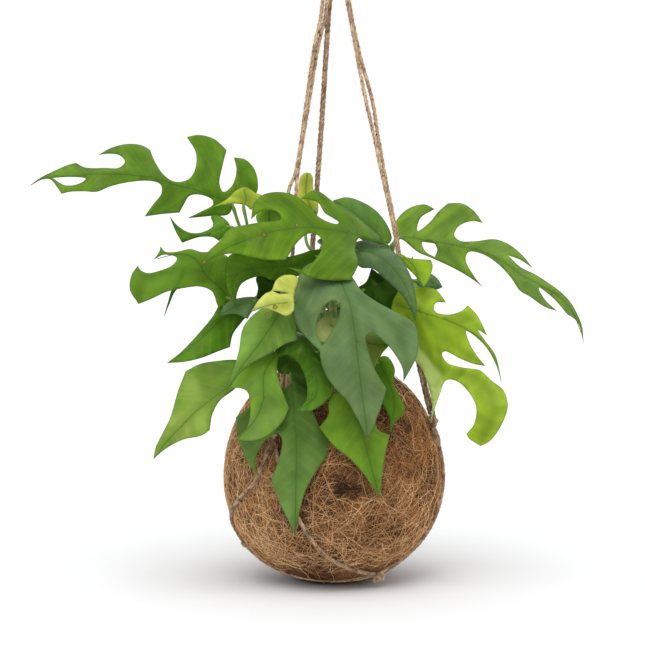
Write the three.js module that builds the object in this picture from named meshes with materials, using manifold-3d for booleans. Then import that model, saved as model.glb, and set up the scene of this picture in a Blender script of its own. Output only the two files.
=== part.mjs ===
// A climbing house plant with split leaves, growing out of the open top of a coconut coir ball that
// hangs in a cradle of jute strands on three doubled jute cords. Millimetres, +Z up, origin at the
// middle of the small flat spot that the ball rests on, front towards -Y.
import * as THREE from "three";
import { mergeVertices } from "three/addons/utils/BufferGeometryUtils.js";
import Module from "manifold-3d";

const wasm = await Module();
wasm.setup();

// ---- driving dimensions, mm ----
const BALL_RADIUS = 90;
const BALL_MIDDLE_Z = 85.5;
const BALL_TOP_SEMI_AXIS = 101.7; // the upper half is drawn up a little towards the opening
const REST_SPOT_RADIUS = 28;
const OPENING_RADIUS = 42;
const WALL = 10;
const SOIL_RADIUS = 47; // where its surface meets the wall
const SOIL_RIM_Z = 157;
const SOIL_DOME = 7;
const SOIL_FIT = 0.994; // leaves half a millimetre to the wall
const BLADE_THICKNESS = 0.8;
const PETIOLE_RADIUS = 1.35;
const STEM_RADIUS = 3.2;
const STRAND_RADIUS = 1.75;
const KNOT_RADIUS = 6;
const LOW_KNOT_RADIUS = 4.6;
const TOP_KNOT = { x: 1.5, y: 0, z: 518.3, radius: 8, height: 17 };
const LOOP = { half_width: 13, height: 46, foot: 2.5 };
const GAP = 0.3; // between pieces that touch
const CRADLE_LIFT = STRAND_RADIUS + GAP + 0.25; // the facets of the ball and the strands need a little more

// ---- the picture that the leaves and cords were placed by: 645 x 645 pixels ----
const PICTURE = { centre: 322.5, mm_per_pixel: 0.83, eye_distance: 2000, x: -8.7, z: 214.5 };
const EYE_ELEVATION = THREE.MathUtils.degToRad(5);
const FORWARD = new THREE.Vector3(0, Math.cos(EYE_ELEVATION), -Math.sin(EYE_ELEVATION));
const UP = new THREE.Vector3(0, Math.sin(EYE_ELEVATION), Math.cos(EYE_ELEVATION));
const TARGET = new THREE.Vector3(PICTURE.x, 0, PICTURE.z);
const EYE = TARGET.clone().addScaledVector(FORWARD, -PICTURE.eye_distance);

// ---- fineness of the faceted surfaces, pixels or counts ----
const OUTLINE_STEP = 12;
const INNER_STEP = 21;
const INNER_MARGIN = 5.5;
const BALL_SIDES = 30;
const BALL_RINGS = 6;
const PETIOLE_SIDES = 5;
const CORD_SIDES = 8;
const STEM_STEPS = 11;
const CRADLE_STEP = 13;
const STEM_SIDES = 8;
const CORD_STEPS = 13;
const KNOT_SIDES = [9, 6];
const TOP_KNOT_SIDES = 16;
const LOOP_STEPS = 20;
const ROUTE_SAMPLES = 60;

const ROUGHNESS = { leaf: 0.45, stem: 0.6, fibre: 0.95, soil: 1 };
const COLOURS = {
  green: 0x6a9a45, deep: 0x4f7d33, blue: 0x5f8560, light: 0x94b44a, yellow: 0xb9c264,
  stem: 0x5d7a35, coir: 0xa5784f, soil: 0x3b2a1e, jute: 0xbea082,
};

// The point at pixel (x, y), depth mm behind the picture plane, which stands upright on TARGET.
function at(x, y, depth) {
  const point = TARGET.clone();
  point.x += (x - PICTURE.centre) * PICTURE.mm_per_pixel;
  point.addScaledVector(UP, (PICTURE.centre - y) * PICTURE.mm_per_pixel);
  return point.sub(EYE).multiplyScalar(1 + depth / PICTURE.eye_distance).add(EYE);
}

// ---- the leaves, in pixels: outline points in order round the edge, "!" at a sharp tip or corner; pins
// x,y,depth that the blade passes through; rib from base to tip; petiole x,y,depth from stem to base ----
const FRONT_LEAVES = [
  {
    name: "leaf_upper_left", colour: "green", stem: "left",
    outline: `28,187! 40,178 52,172 68,165 76,163! 85,167.5 105,168 119,167.7 125,161.5 119,155
      106,153.8 98.5,155! 111,148 128,144 142,145.5 150,150! 154.5,161 163,174 174,181.5 187,180
      194.5,171 196,153 187,137! 199,135 214,139 226.5,150! 222.5,166 219.5,184 223.5,192 232,185.5
      236.5,170 234,157.5! 245,159.5 254,168.5 258,183 256,194 245,200 233,204! 229,214 210,216
      187,218.3! 200,212 213,204.5 212,199.5 199,194.5 189.5,196 183,206 179.5,212.5! 160,214.3
      144.5,216.5! 153,204.5 161.5,193 160.5,184.5 151,181 130,182 110,186.5 97,191.7 84,191.3
      70,191.8 61.5,193.8! 57,187 50,179.3 38,180.5`,
    hole: `52,177.6! 75,177 86,178.7 79,183.7 65,185.2`,
    rib: `233,204 210,195 195,190 175,185 155,178.7 135,175.7 115,174.3 75,175.5 40,179.5 28,187`,
    pins: `233,204,-10 210,195,-14 175,185,-24 135,176,-32 95,175,-38 28,187,-42 205,140,4
      120,148,-26 245,165,4 256,190,-4 150,214,-36 187,216,-28 80,164,-32 75,192,-44`,
    petiole: `243,236,-12 238,222,-13 233,204,-10`,
  },
  {
    name: "leaf_left_fold", colour: "yellow", stem: "left",
    outline: `213,207! 227,199 236,190.5 245,187 256,193 262,195.5 254,205 251,210 246,205.5
      232,203.7 224,205`,
    rib: `243,206 246,200 244,190`,
    pins: `213,207,-30 232,197,-24 250,195,-20 262,195,-18 241,188,-20 240,205,-22`,
    petiole: `250,245,-11 247,224,-20 242,207,-22`,
  },
  {
    name: "leaf_left_small", colour: "green", stem: "left",
    outline: `169.5,216! 178,226 190,232.7 203,232 213,225.5 211,216 219,215.5 228,222 230,228
      219,241! 213,237.3 200,237 182,242.7! 175,230`,
    rib: `229,226 219,229 205,235 190,235 178,229 169.5,216`,
    pins: `229,226,-30 205,232,-35 190,235,-38 169.5,216,-38 182,242,-42 219,241,-34 211,216,-30`,
    petiole: `252,250,-11 241,232,-24 229,226,-30`,
  },
  {
    name: "leaf_left_middle", colour: "green", stem: "left",
    outline: `215,252 201,252 190,249 177,251.7 165,251.5 160.5,246! 159.5,251 153.5,260! 164,254.7
      177,258 172.5,265 160,270.5 147,273 139.5,269 138,265.5! 131.5,275 130,290 138.5,304! 150,299.5
      167,291.7 184,288 200,286.6 212,291.5 219.5,308 230,299 232,290 230,268 229,258`,
    rib: `228,299 222,290 214,283 206,275 200,265 192,257 178,254 153.5,260`,
    pins: `228,299,-48 214,283,-54 200,265,-60 178,254,-62 153.5,260,-64 138,304,-62 131,275,-66
      165,292,-58 200,287,-52 230,268,-44 208,251,-50`,
    petiole: `272,277,-11 262,292,-28 245,303,-43 228,299,-48`,
  },
  {
    name: "leaf_left_slim", colour: "deep", stem: "left",
    outline: `163.5,318.5! 168.5,300 172,289 180,279 192,271 206,268 214,272! 206,279 194,281
      176.5,290 169.5,304`,
    rib: `213,272 196,275 180,283 170,299 163.5,318.5`,
    pins: `213,272,-30 196,275,-33 180,283,-38 163.5,318.5,-46 171,296,-41`,
    petiole: `262,262,-10 235,267,-20 213,272,-30`,
  },
  {
    name: "leaf_left_lower", colour: "green", stem: "left",
    outline: `167,363! 181,352 199,333 213,316 219.5,305 230,299 245,306 249,312 241,323 233,334
      230,347! 217,351.8 202,357.7 185,361.7`,
    rib: `246,311 225,318 205,335 185,352 167,363`,
    pins: `246,311,-38 225,318,-42 205,335,-48 185,352,-54 167,363,-58 190,342,-50 217,310,-40
      231,339,-46 210,355,-54`,
    petiole: `290,300,-12 270,305,-26 246,311,-38`,
  },
  {
    name: "leaf_dark_arch", colour: "blue", stem: "middle",
    outline: `322,250 311,250.3 303,253 285,257 250,254 230,255 225,274 229,293 237,311! 236.5,296
      241,284.5 250,278.7 262,276.3 273,280.5 283,275 296,276.5 312,268 322,257`,
    rib: `318,255 300,264 270,267 245,270 233,280 236,306`,
    pins: `318,255,-56 300,263,-62 270,267,-68 245,268,-72 232,285,-70 236,308,-64 256,277,-66
      226,275,-68 290,275,-64`,
    petiole: `322,275,-22 323,266,-42 318,255,-56`,
  },
  {
    name: "leaf_grey_underside", colour: "blue", stem: "middle",
    outline: `219,316! 225,304 237,298.5 258,298.5 247.5,319! 236,314`,
    rib: `256,300 240,305 221,314`,
    pins: `256,300,-54 240,305,-57 221,314,-56 247,318,-60`,
    petiole: `322,306,-24 290,306,-34 268,302,-46 256,300,-54`,
  },
  {
    name: "leaf_yellow_curl", colour: "yellow", stem: "middle",
    outline: `251,312! 258,301 266,293 271,291 277,279 289,274.7 298,278 294,294 293.5,311 286,315.8
      276,311.7 265,308.5`,
    rib: `289,293 275,300 262,306 251,312`,
    pins: `289,293,-108 289,275,-102 277,285,-112 266,300,-118 251,312,-116 288,314,-116`,
    petiole: `322,301,-24 306,296,-60 289,292,-92 289,293,-108`,
  },
  {
    name: "leaf_mid_left_hanging", colour: "green", stem: "middle",
    outline: `226,390! 232,374 239,350 242,331 247,321.5 258,311 270,305 285,307 293,311 297.7,340.7!
      287,343.3 273,351.5 257,360.3 244,368.5`,
    rib: `283,306 275,320 262,340 245,362 226,390`,
    pins: `283,306,-94 275,320,-102 262,340,-107 245,362,-107 226,390,-102 242,331,-98
      297,335,-95 258,360,-105 294,315,-92`,
    petiole: `322,312,-24 302,307,-66 283,306,-94`,
  },
  {
    name: "leaf_lower_left", colour: "green", stem: "middle",
    outline: `153.5,459! 155.5,448 170,418 178,391 185.5,371.5! 200,364 217,361 237,360 248,364
      246,373 235,388.5 220,400.5 212.5,414 209.7,430! 202,435.3 182,440 165,449.3`,
    rib: `246,371 232,384 215,397 198,410 180,428 165,444 153.5,459`,
    pins: `246,371,-62 215,397,-76 180,428,-88 153.5,459,-95 185.5,371.5,-66 226,361,-56
      210,429,-92 235,388,-72 170,418,-84`,
    petiole: `328,364,-18 292,364,-30 265,367,-48 246,371,-62`,
  },
  {
    name: "leaf_centre_left", colour: "deep", stem: "middle",
    outline: `235,440! 244,432.5 249.5,419 250,402 247,391.3 238,388 229,389! 237,376.5 250,364.5
      266,356 280,349 286,350 279.5,355.5 276.7,368 279.5,382.5 289,408! 283.5,420.5 270.5,433.5
      255,440.3`,
    rib: `283,351 272,360 264,375 263,400 255,420 236,440`,
    pins: `283,351,-88 272,360,-93 264,375,-96 263,400,-97 255,420,-95 236,440,-88 229,389,-90
      288,408,-94 270,432,-94`,
    petiole: `324,340,-23 302,346,-60 283,351,-88`,
  },
  {
    name: "leaf_over_ball", colour: "green", stem: "middle",
    outline: `295,534.5! 287,518 277.5,497.5 271,481! 276,468 281,451 282,440 277.5,433 268.5,438
      259,450 255,463.5 259.5,477.5! 250,465 242.5,451 238,436 236,417! 246,410 257,398 268,385
      280,372 290,368 298,372 304,385 313,411 323,432 330.5,441 327,455 317,470 305.5,491 299,515`,
    rib: `290,372 293,400 296,440 296,480 295,534`,
    pins: `290,372,-78 293,400,-84 296,440,-88 296,480,-86 295,534,-70 238,430,-72 258,475,-78
      328,445,-82 272,484,-84 257,400,-80 305,491,-85`,
    petiole: `326,352,-20 306,362,-48 290,372,-78`,
  },
  {
    name: "leaf_centre_curl", colour: "deep", stem: "middle",
    outline: `296,411! 310,411 323,403.5 333,391.5 332,378 325,362 318,349 308,337 295,334 283,340
      275,349 277,355 287,354.5 298.5,363 306,380 306,400`,
    rib: `318,353 308,350 314,368 316,395 298,410`,
    pins: `318,353,-92 300,345,-97 279,352,-100 310,370,-98 322,370,-96 318,395,-97 298,410,-94
      331,390,-95 296,335,-85 283,342,-91`,
    petiole: `323,329,-24 329,344,-62 318,353,-92`,
  },
  {
    name: "leaf_centre_right", colour: "green", stem: "right",
    outline: `379.5,498! 372.5,487 361,470.5 348,457 333,445 319,427.5! 328.5,414 328.5,402 335,391
      345,385 358,385 372,394 381,407 375.5,419 378,429.5 390,435! 385.5,452 382,476`,
    rib: `350,388 355,410 364,440 372,470 379.5,498`,
    pins: `350,388,-84 355,410,-90 364,440,-91 372,470,-88 379.5,498,-78 320,428,-92 345,452,-92
      389,436,-84 380,407,-84`,
    petiole: `344,378,-4 345,370,-36 347,373,-66 350,388,-84`,
  },
  {
    name: "leaf_centre_front", colour: "blue", stem: "middle",
    outline: `368,440! 357.5,419 347.5,401.5 336,389 326,375.5 320.3,358 320,351! 307,338.5 297,325
      293.3,306 296,286 303,268 318,261 335,262 352,277 362,291 378,302.5 402,315.3 414.5,324
      418.5,340 416.5,356.5 403.5,381.5! 402.7,369 395,354.5 384.5,342 373,333.5 366,335.5 367,346
      374.7,369 386.5,388.5! 382.5,402.5 375.5,421`,
    hole: `322,346! 316.3,331 318,318 324.5,305.5 333.5,300.5 340,306.5 337.5,319.5 331.5,331`,
    rib: `333,264 342,285 350,305 355,335 359,370 364,410 368,440`,
    pins: `333,264,-72 342,285,-90 350,305,-104 355,335,-110 359,370,-112 364,410,-111 368,440,-105
      295,305,-102 305,272,-82 320,345,-108 335,385,-109 418,340,-98 403,380,-99 385,388,-107 380,303,-98
      356,285,-88 380,400,-108`,
    petiole: `322,290,-23 327,276,-46 333,264,-72`,
  },
  {
    name: "leaf_right_small", colour: "green", stem: "right",
    outline: `378,358 387,356.5 394.8,368.5 393.5,384 401,398 404.3,412 396.5,419.5 389.7,434!
      389.3,418 383.5,406 376,390 374,369`,
    rib: `377,361 387,378 394,400 390,432`,
    pins: `377,361,-52 390,365,-56 394,400,-64 402,412,-63 390,432,-71 380,395,-62`,
    petiole: `359,336,-8 368,348,-30 377,361,-52`,
  },
  {
    name: "leaf_top_big", colour: "green", stem: "right",
    outline: `201.5,264! 208,252 219.5,241 229,229 245,225 262,222 281,219 277,212 262,210.5
      251,219.5! 253.5,205 262,195.3 279,192 296,196 309,206.5 319.5,217.5 336,224 339,222.5
      324.5,212.5 318,202.5 301,198.3! 315,190.3 335,203 352,214 369,227.5 384,241 390,246.5!
      378,242 359,238 355.3,249 358.5,263 351,279.7! 331,280.3 311,277 289,267.7! 303.5,269
      314,261 322.8,243.5 317.5,235 309,233.5 299,240.5 285.5,260! 268,260 251,257 236,253.8
      221,255`,
    rib: `388,244.5 370,238 350,233.5 330,230 310,228 290,229 270,232.5 250,239 230,247 215,255
      202,263`,
    pins: `388,244.5,-19 370,238,-34 350,233.5,-46 330,230,-56 310,228,-63 290,229,-69 270,232,-75
      250,239,-81 230,247,-86 202,263,-92 305,198,-50 262,197,-60 345,208,-34 250,222,-76
      340,280,-98 300,272,-100 356,245,-54 358,263,-80 285,262,-92`,
    petiole: `390,254,-7 389,250,-13 388,244.5,-19`,
  },
  {
    name: "leaf_behind_top", colour: "deep", stem: "right",
    outline: `333,200.5! 346,197.3 360,201 376,210.7 387.5,225.5 391.7,239 388,244 375,245 355,235
      340,215`,
    rib: `386,242 370,226 350,210 333,200.5`,
    pins: `386,242,4 370,226,8 350,210,10 333,200.5,10 388,225,12 375,245,0`,
    petiole: `388,259,-7 385,252,1 386,242,4`,
  },
  {
    name: "leaf_drooping", colour: "blue", stem: "middle",
    outline: `415.7,321.5! 409,306 398,291 385,279 373,268.8 360,267 352,254 354,244 362,240.5
      378,244 387,248 394,252 400.5,258.5 407,268.5 412.5,281 417,307`,
    rib: `355,250 372,253 390,265 405,285 412,305 415.7,321.5`,
    pins: `355,250,-32 368,242,-26 387,248,-24 372,254,-34 391,265,-48 405,285,-62 415,319,-74
      378,273,-46 360,265,-38 407,269,-54`,
    petiole: `322,264,-20 338,257,-26 355,250,-32`,
  },
  {
    name: "leaf_upper_right", colour: "green", stem: "right",
    outline: `582.5,336! 577,321 572,317 567.7,314.7! 553,298 538.7,287.5 544.5,299 557,311! 545,307
      530,296.7 520,290.7 510,276.5 496,262.3 481,253.5 468.5,252 465.7,260 476.5,279.5 483,287!
      468,276.3 452,267.3 431,257.7 418,252 403,240 396,237 393,228 400,215.5 410,207.7 424.5,204.4
      434.7,209! 420.3,218.3 417.5,231 430,222 438.5,211.5 448,203.3! 462,203.5 474,211 482.7,222.7!
      471,221.2 458.5,226.5 454.3,235 460,240.8 475,241.3 495,239.3 510,245 524,257 532.5,268!
      520,259.7 508,255.3! 520.5,267 535,274.3 549,283.3 563,294 571,303 577,313.5 581,324`,
    hole: `422,242 433,242.3 437.3,250 434.7,257! 425.5,251.5`,
    rib: `399,236 420,239.5 445,243.5 465,247.5 485,252.5 503,262 520,274 540,285 558,296 572,311
      582.5,336`,
    pins: `399,236,2 420,239.5,3 445,243.5,1 485,252.5,-10 520,274,-24 558,296,-36 582.5,336,-42
      430,206,14 462,204,8 400,215,8 437,258,-6 480,285,-22 532,262,-20 575,312,-40 508,256,-14`,
    petiole: `392,246,-6 396,241,-1 399,236,2`,
  },
  {
    name: "leaf_right_yellow", colour: "light", stem: "right",
    outline: `502,384.5! 496.5,366 487.5,349 476.5,336 466.3,330.7 469,342 477.5,356.5 485.5,366!
      474,364 461,359 445,351.3 442,353.5 447,362.5 460,367 474,369 480,370.3 492,381 503.5,390.5
      507.8,406 501.5,425 490,441 480.5,446! 469.5,439 466.3,434! 474,424 476.2,407 469,392.5
      457,381.3 446.3,380.3 439.3,396 431,421! 432,404 428.5,387 420,366 413.5,359.7! 416,352
      405,340 395,322 391.7,305 398,292 405,288.5 423,287 436,289.7 446,302.3! 435.5,303 435,311.3
      447.5,314.7 461.5,311 467.7,305.3! 477,315 487.3,335.5! 478,330 485,340.5 495.5,355.5`,
    rib: `397,305 420,312 440,318 458,325 474,334 488,348 498,366 502,384.5`,
    pins: `397,305,-38 420,312,-44 440,318,-46 458,325,-46 474,334,-44 488,348,-42 502,384,-44
      430,289,-36 467,306,-38 425,350,-50 445,365,-54 475,400,-58 507,400,-56 482,444,-64
      432,418,-58 415,358,-48`,
    petiole: `368,312,-8 383,320,-18 395,317,-32 397,305,-38`,
  },
  {
    name: "leaf_right_bright", colour: "light", stem: "right",
    outline: `423,288.5! 416,277 404.5,265 398,256 401,254 408,257.7 431,260! 432.7,266 429,279.5`,
    rib: `400,256 412,264 423,288`,
    pins: `400,256,-29 412,264,-34 423,288,-44 431,260,-34 431,273,-40`,
    petiole: `389,260,-7 391,257,-22 400,256,-29`,
  },
  {
    name: "leaf_grey_behind", colour: "blue", stem: "right",
    outline: `442.7,287! 436.5,277.5 425,272 418,276 416,283 422,288 431,289 437,289.5`,
    rib: `418,281 430,282 442,287`,
    pins: `418,281,-8 430,280,-7 442,287,-10 428,289,-10`,
    petiole: `382,280,-7 400,280,-6 418,281,-8`,
  },
  {
    name: "leaf_new_upright", colour: "yellow", stem: "middle",
    outline: `298,199 297.7,190 300.5,176 309,173 312.7,183 313.3,190 318,203 317,214 308,208`,
    rib: `313,212 306,195 307,174`,
    pins: `313,212,12 306,195,10 307,174,8 298,195,8`,
    petiole: `323,258,-18 308,246,-8 306,228,2 313,212,12`,
  },
  {
    name: "leaf_notch_bright", colour: "yellow", stem: "left",
    outline: `256,216 262,210 270,209 278,212 282,219 280,226 270,232 260,226`,
    rib: `270,230 269,210`,
    pins: `270,230,-48 269,210,-50 258,216,-52 281,219,-52`,
    petiole: `258,258,-11 266,242,-32 270,230,-48`,
  },
  {
    name: "leaf_shaded_right", colour: "deep", stem: "right",
    outline: `371.5,268! 388,281 398,290.5! 396,300 393,312! 384,306 374,300 362,294 358,288
      366,282`,
    rib: `361,290 375,290 394,310`,
    pins: `361,290,-30 375,290,-32 394,310,-30 398,291,-31 372,270,-28`,
    petiole: `368,310,-8 362,302,-20 361,290,-30`,
  },
  {
    name: "leaf_olive", colour: "light", stem: "middle",
    outline: `316,341 315,331 318,321 328,316 340,321 352,327 366,332 380,333 389.5,345.5!
      383,352.5 374.5,367.5! 364,362 352,350 335,343`,
    rib: `330,325 353,336 368,343 388,346`,
    pins: `353,343,-78 368,346,-82 388,346,-82 375,366,-86 318,336,-82 330,320,-78 352,328,-76`,
    petiole: `323,326,-23 331,328,-48 330,325,-78`,
  },
  {
    name: "leaf_shaded_left", colour: "deep", stem: "left",
    outline: `256,278 262,272 274,270 283,276 283,290 276,298 266,301 257,298 258,288`,
    rib: `280,288 268,284 259,280`,
    pins: `280,288,-35 268,284,-39 259,280,-41 268,300,-40`,
    petiole: `284,294,-12 283,291,-26 280,288,-35`,
  },
];

// The far side: forms of the front leaves, turned round the ball's axis by an angle in degrees and
// moved in mm. Each petiole leaves the back stem at a share "from" of its length.
const BACK_LEAVES = [
  { name: "leaf_back_over_ball", form: "leaf_over_ball", turn: 205, move: [0, 0, -4], from: 0.15 },
  { name: "leaf_back_centre", form: "leaf_centre_front", turn: 172, move: [-20, 0, -22], from: 0.62 },
  { name: "leaf_back_left", form: "leaf_centre_left", turn: 246, move: [0, 0, -4], from: 0.3 },
  { name: "leaf_back_right", form: "leaf_centre_right", turn: 170, move: [0, 0, 46], from: 0.53 },
  { name: "leaf_back_hanging", form: "leaf_mid_left_hanging", turn: 178, move: [0, 0, -14], from: 0.45 },
  { name: "leaf_back_upper", form: "leaf_left_middle", turn: 216, move: [-10, -56, -16], from: 0.6 },
  { name: "leaf_back_low", form: "leaf_right_small", turn: 140, move: [0, 0, 0], from: 0.38 },
  { name: "leaf_back_arching", form: "leaf_drooping", turn: 132, move: [4, 8, 2], from: 0.85 },
];

// Where a far leaf's petiole is highest: a share of the way from stem to base, mm above the higher.
const CROWN = { share: 0.55, rise: 6 };

// The four vine stems, x,y,depth in the picture, from under the soil's surface to the last leaf.
const STEMS = {
  left: `325,400,-2 312,345,-10 290,300,-12 262,262,-10 243,232,-12`,
  middle: `334,400,-14 326,350,-20 322,310,-24 322,275,-22 325,248,-16`,
  right: `344,400,0 358,340,-8 374,300,-8 388,262,-6 393,243,-6`,
  back: `338,400,14 338,350,18 333,310,20 326,270,20 322,245,18`,
};

// ---- cords: x,y,depth and half the distance between the two strands, mm ----
const CORDS = {
  left: {
    knot: { turn: -33.8, z: 129 }, apart: new THREE.Vector3(1, 0, 0), seats: [180, 240],
    route: `325,0,-31,2.1 323,17,-31,2.1 316,43,-32,2.1 307,100,-32,2.1 300,154,-34,2.1
      293.4,187,-36,3.6 289,250,-44,4 286,330,-54,3 283,395,-62,2.1`,
  },
  right: {
    knot: { turn: 75, z: 133 }, apart: new THREE.Vector3(0.7, 0.7, 0), seats: [300, 0],
    route: `347.8,0,-28,2.1 353.6,31,-27.5,2.1 359.5,60,-27,2.1 369,100,-26,3.6
      377,141,-25,2.1 385,182,-24,2.1 394,225,-23,2.1 397.6,247,-22,2.1 405,295,-20,2.1 414,340,-18,2.1
      425,388,-17,2.1`,
  },
  back: {
    knot: { turn: 200, z: 138 }, apart: new THREE.Vector3(-0.3, 0.95, 0), seats: [60, 120],
    route: `329.6,0,-14,2.6 326,55,-2,2.2 322.6,108,10,2.1 317,187,28,2.1 313,240,39,2.1
      308,330,60,2.1`,
  },
};

// ---- cradle strands on the ball: turn in degrees from the front towards +X, height z ----
const LOW_KNOTS = { front: [41, 12.6], left: [-86, 31], back: [165, 12.6] };
const CRADLE = {
  left_outer: {
    from: "left", to: "left", way: [[-43.6, 91], [-52, 80.6], [-61.7, 69.6], [-74, 57], [-84, 45]],
  },
  left_front: {
    from: "left", to: "front", way: [[-27, 100], [-18, 65], [-13, 50], [-4, 33], [10, 22], [26, 16]],
  },
  right_front: { from: "right", to: "front", way: [[80, 113], [84, 88], [79, 65], [70, 40], [59, 26.5]] },
  right_back: { from: "right", to: "back", way: [[97, 110], [120, 62], [147, 27]] },
  back_right: { from: "back", to: "back", way: [[193, 100], [183, 55], [173, 25]] },
  back_left: { from: "back", to: "left", way: [[212, 100], [232, 64], [254, 42]] },
};

// The strand that runs round under the ball from low knot to low knot.
const UNDER = [
  { from: "left", to: "front", way: [[-72, 17], [-50, 8], [-20, 5], [12, 5], [31, 8]] },
  { from: "front", to: "back", way: [[56, 8], [80, 5], [128, 5], [151, 8]] },
  { from: "back", to: "left", way: [[182, 8], [212, 5.5], [238, 9], [260, 19]] },
];

// ---- solids ----
function toSolid(geometry) {
  const plain = geometry.clone();
  plain.deleteAttribute("normal");
  plain.deleteAttribute("uv");
  const merged = mergeVertices(plain);
  const vertProperties = new Float32Array(merged.attributes.position.array);
  const triVerts = new Uint32Array(merged.index.array);
  return new wasm.Manifold(new wasm.Mesh({ numProp: 3, vertProperties, triVerts }));
}

function toGeometry(solid) {
  const mesh = solid.getMesh();
  const geometry = new THREE.BufferGeometry();
  geometry.setAttribute("position", new THREE.BufferAttribute(mesh.vertProperties, 3));
  geometry.setIndex(new THREE.BufferAttribute(mesh.triVerts, 1));
  return geometry;
}

function indexedGeometry(points, triangles) {
  const geometry = new THREE.BufferGeometry().setFromPoints(points);
  geometry.setIndex(triangles.flat());
  return geometry;
}

function roundSection(radius, sides) {
  return new THREE.Shape(Array.from({ length: sides }, (_, i) => {
    const angle = (2 * Math.PI * i) / sides;
    return new THREE.Vector2(radius * Math.cos(angle), radius * Math.sin(angle));
  }));
}

function tube(points, radius, sides, steps) {
  const extrudePath = new THREE.CatmullRomCurve3(points, false, "centripetal");
  return new THREE.ExtrudeGeometry(roundSection(radius, sides), { steps, extrudePath });
}

function lathe(profile, sides) {
  const geometry = new THREE.LatheGeometry(profile, sides);
  return geometry.rotateX(Math.PI / 2);
}

// ---- reading the leaf forms ----
function numbers(text) {
  return text.trim().split(/\s+/).map((word) => word.replace("!", "").split(",").map(Number));
}

function places(text) {
  return numbers(text).map(([x, y, depth]) => at(x, y, depth));
}

// A closed edge through the points, smooth except at the sharp tips, with steps of about step pixels.
function closedEdge(text, step) {
  const words = text.trim().split(/\s+/);
  const points = numbers(text).map(([x, y]) => new THREE.Vector3(x, y, 0));
  const tips = words.flatMap((word, i) => (word.endsWith("!") ? [i] : []));
  if (tips.length === 0) {
    return sampled(new THREE.CatmullRomCurve3(points, true, "centripetal"), step, 6);
  }
  return tips.flatMap((tip, i) => {
    const next = i + 1 < tips.length ? tips[i + 1] : tips[0] + points.length;
    const stretch = [];
    for (let k = tip; k <= next; k++) stretch.push(points[k % points.length]);
    return sampled(new THREE.CatmullRomCurve3(stretch, false, "centripetal"), step, 1);
  });
}

function sampled(curve, step, fewest) {
  const count = Math.max(fewest, Math.round(curve.getLength() / step));
  return curve.getSpacedPoints(count).slice(0, -1).map((p) => new THREE.Vector2(p.x, p.y));
}

// The smooth surface of least bending through the pins: depth as a function of x and y.
function depthField(pins) {
  const bend = (r2) => (r2 > 0 ? r2 * Math.log(r2) : 0);
  const rows = pins.map(([x, y]) => [
    ...pins.map(([a, b]) => bend((x - a) ** 2 + (y - b) ** 2)), 1, x, y,
  ]);
  for (const pick of [() => 1, ([x]) => x, ([, y]) => y]) rows.push([...pins.map(pick), 0, 0, 0]);
  const weights = solve(rows, [...pins.map((pin) => pin[2]), 0, 0, 0]);
  return (x, y) => {
    const flat = weights[pins.length] + weights[pins.length + 1] * x + weights[pins.length + 2] * y;
    return pins.reduce((sum, [a, b], i) => sum + weights[i] * bend((x - a) ** 2 + (y - b) ** 2), flat);
  };
}

// Gaussian elimination with row exchange.
function solve(rows, right) {
  const table = rows.map((row, i) => [...row, right[i]]);
  const n = table.length;
  for (let c = 0; c < n; c++) {
    const below = table.slice(c).map((row) => Math.abs(row[c]));
    const best = c + below.indexOf(Math.max(...below));
    [table[c], table[best]] = [table[best], table[c]];
    for (const row of table) {
      if (row === table[c]) continue;
      const share = row[c] / table[c][c];
      for (let k = c; k <= n; k++) row[k] -= share * table[c][k];
    }
  }
  return table.map((row, i) => row[n] / row[i]);
}

// ---- triangles of a flat outline ----
function turn2(a, b, c) {
  return (b.x - a.x) * (c.y - a.y) - (b.y - a.y) * (c.x - a.x);
}

function inCircle(a, b, c, p) {
  const [ax, ay, bx, by, cx, cy] = [a.x - p.x, a.y - p.y, b.x - p.x, b.y - p.y, c.x - p.x, c.y - p.y];
  return (
    (ax * ax + ay * ay) * (bx * cy - cx * by) -
    (bx * bx + by * by) * (ax * cy - cx * ay) +
    (cx * cx + cy * cy) * (ax * by - bx * ay)
  );
}

// Turns the diagonal of each pair of triangles where that makes them rounder.
function makeRounder(points, triangles) {
  const slack = 1e-6;
  const mostPasses = 60;
  for (let pass = 0, turned = true; turned && pass < mostPasses; pass++) {
    turned = false;
    const owner = new Map();
    triangles.forEach((t, i) => t.forEach((a, k) => owner.set(`${a},${t[(k + 1) % 3]}`, [i, k])));
    const changed = new Set();
    for (const [edge, [i, k]] of owner) {
      const [a, b] = edge.split(",").map(Number);
      const other = owner.get(`${b},${a}`);
      if (!other || changed.has(i) || changed.has(other[0])) continue;
      const c = triangles[i][(k + 2) % 3];
      const d = triangles[other[0]][(other[1] + 2) % 3];
      const [pa, pb, pc, pd] = [a, b, c, d].map((v) => points[v]);
      if (inCircle(pa, pb, pc, pd) <= slack) continue;
      if (turn2(pc, pa, pd) <= slack || turn2(pd, pb, pc) <= slack) continue;
      triangles[i] = [c, a, d];
      triangles[other[0]] = [d, b, c];
      changed.add(i);
      changed.add(other[0]);
      turned = true;
    }
  }
}

function insertPoint(points, triangles, p) {
  const room = 0.5;
  const found = triangles.findIndex((t) =>
    t.every((a, k) => turn2(points[a], points[t[(k + 1) % 3]], p) > room));
  if (found < 0) return;
  const [a, b, c] = triangles[found];
  const v = points.push(p) - 1;
  triangles.splice(found, 1, [a, b, v], [b, c, v], [c, a, v]);
  makeRounder(points, triangles);
}

function edgeDistance(p, loops) {
  let nearest = Infinity;
  for (const loop of loops) {
    loop.forEach((a, i) => {
      const b = loop[(i + 1) % loop.length];
      const t = ((p.x - a.x) * (b.x - a.x) + (p.y - a.y) * (b.y - a.y)) / a.distanceToSquared(b);
      nearest = Math.min(nearest, p.distanceTo(a.clone().lerp(b, THREE.MathUtils.clamp(t, 0, 1))));
    });
  }
  return nearest;
}

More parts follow.
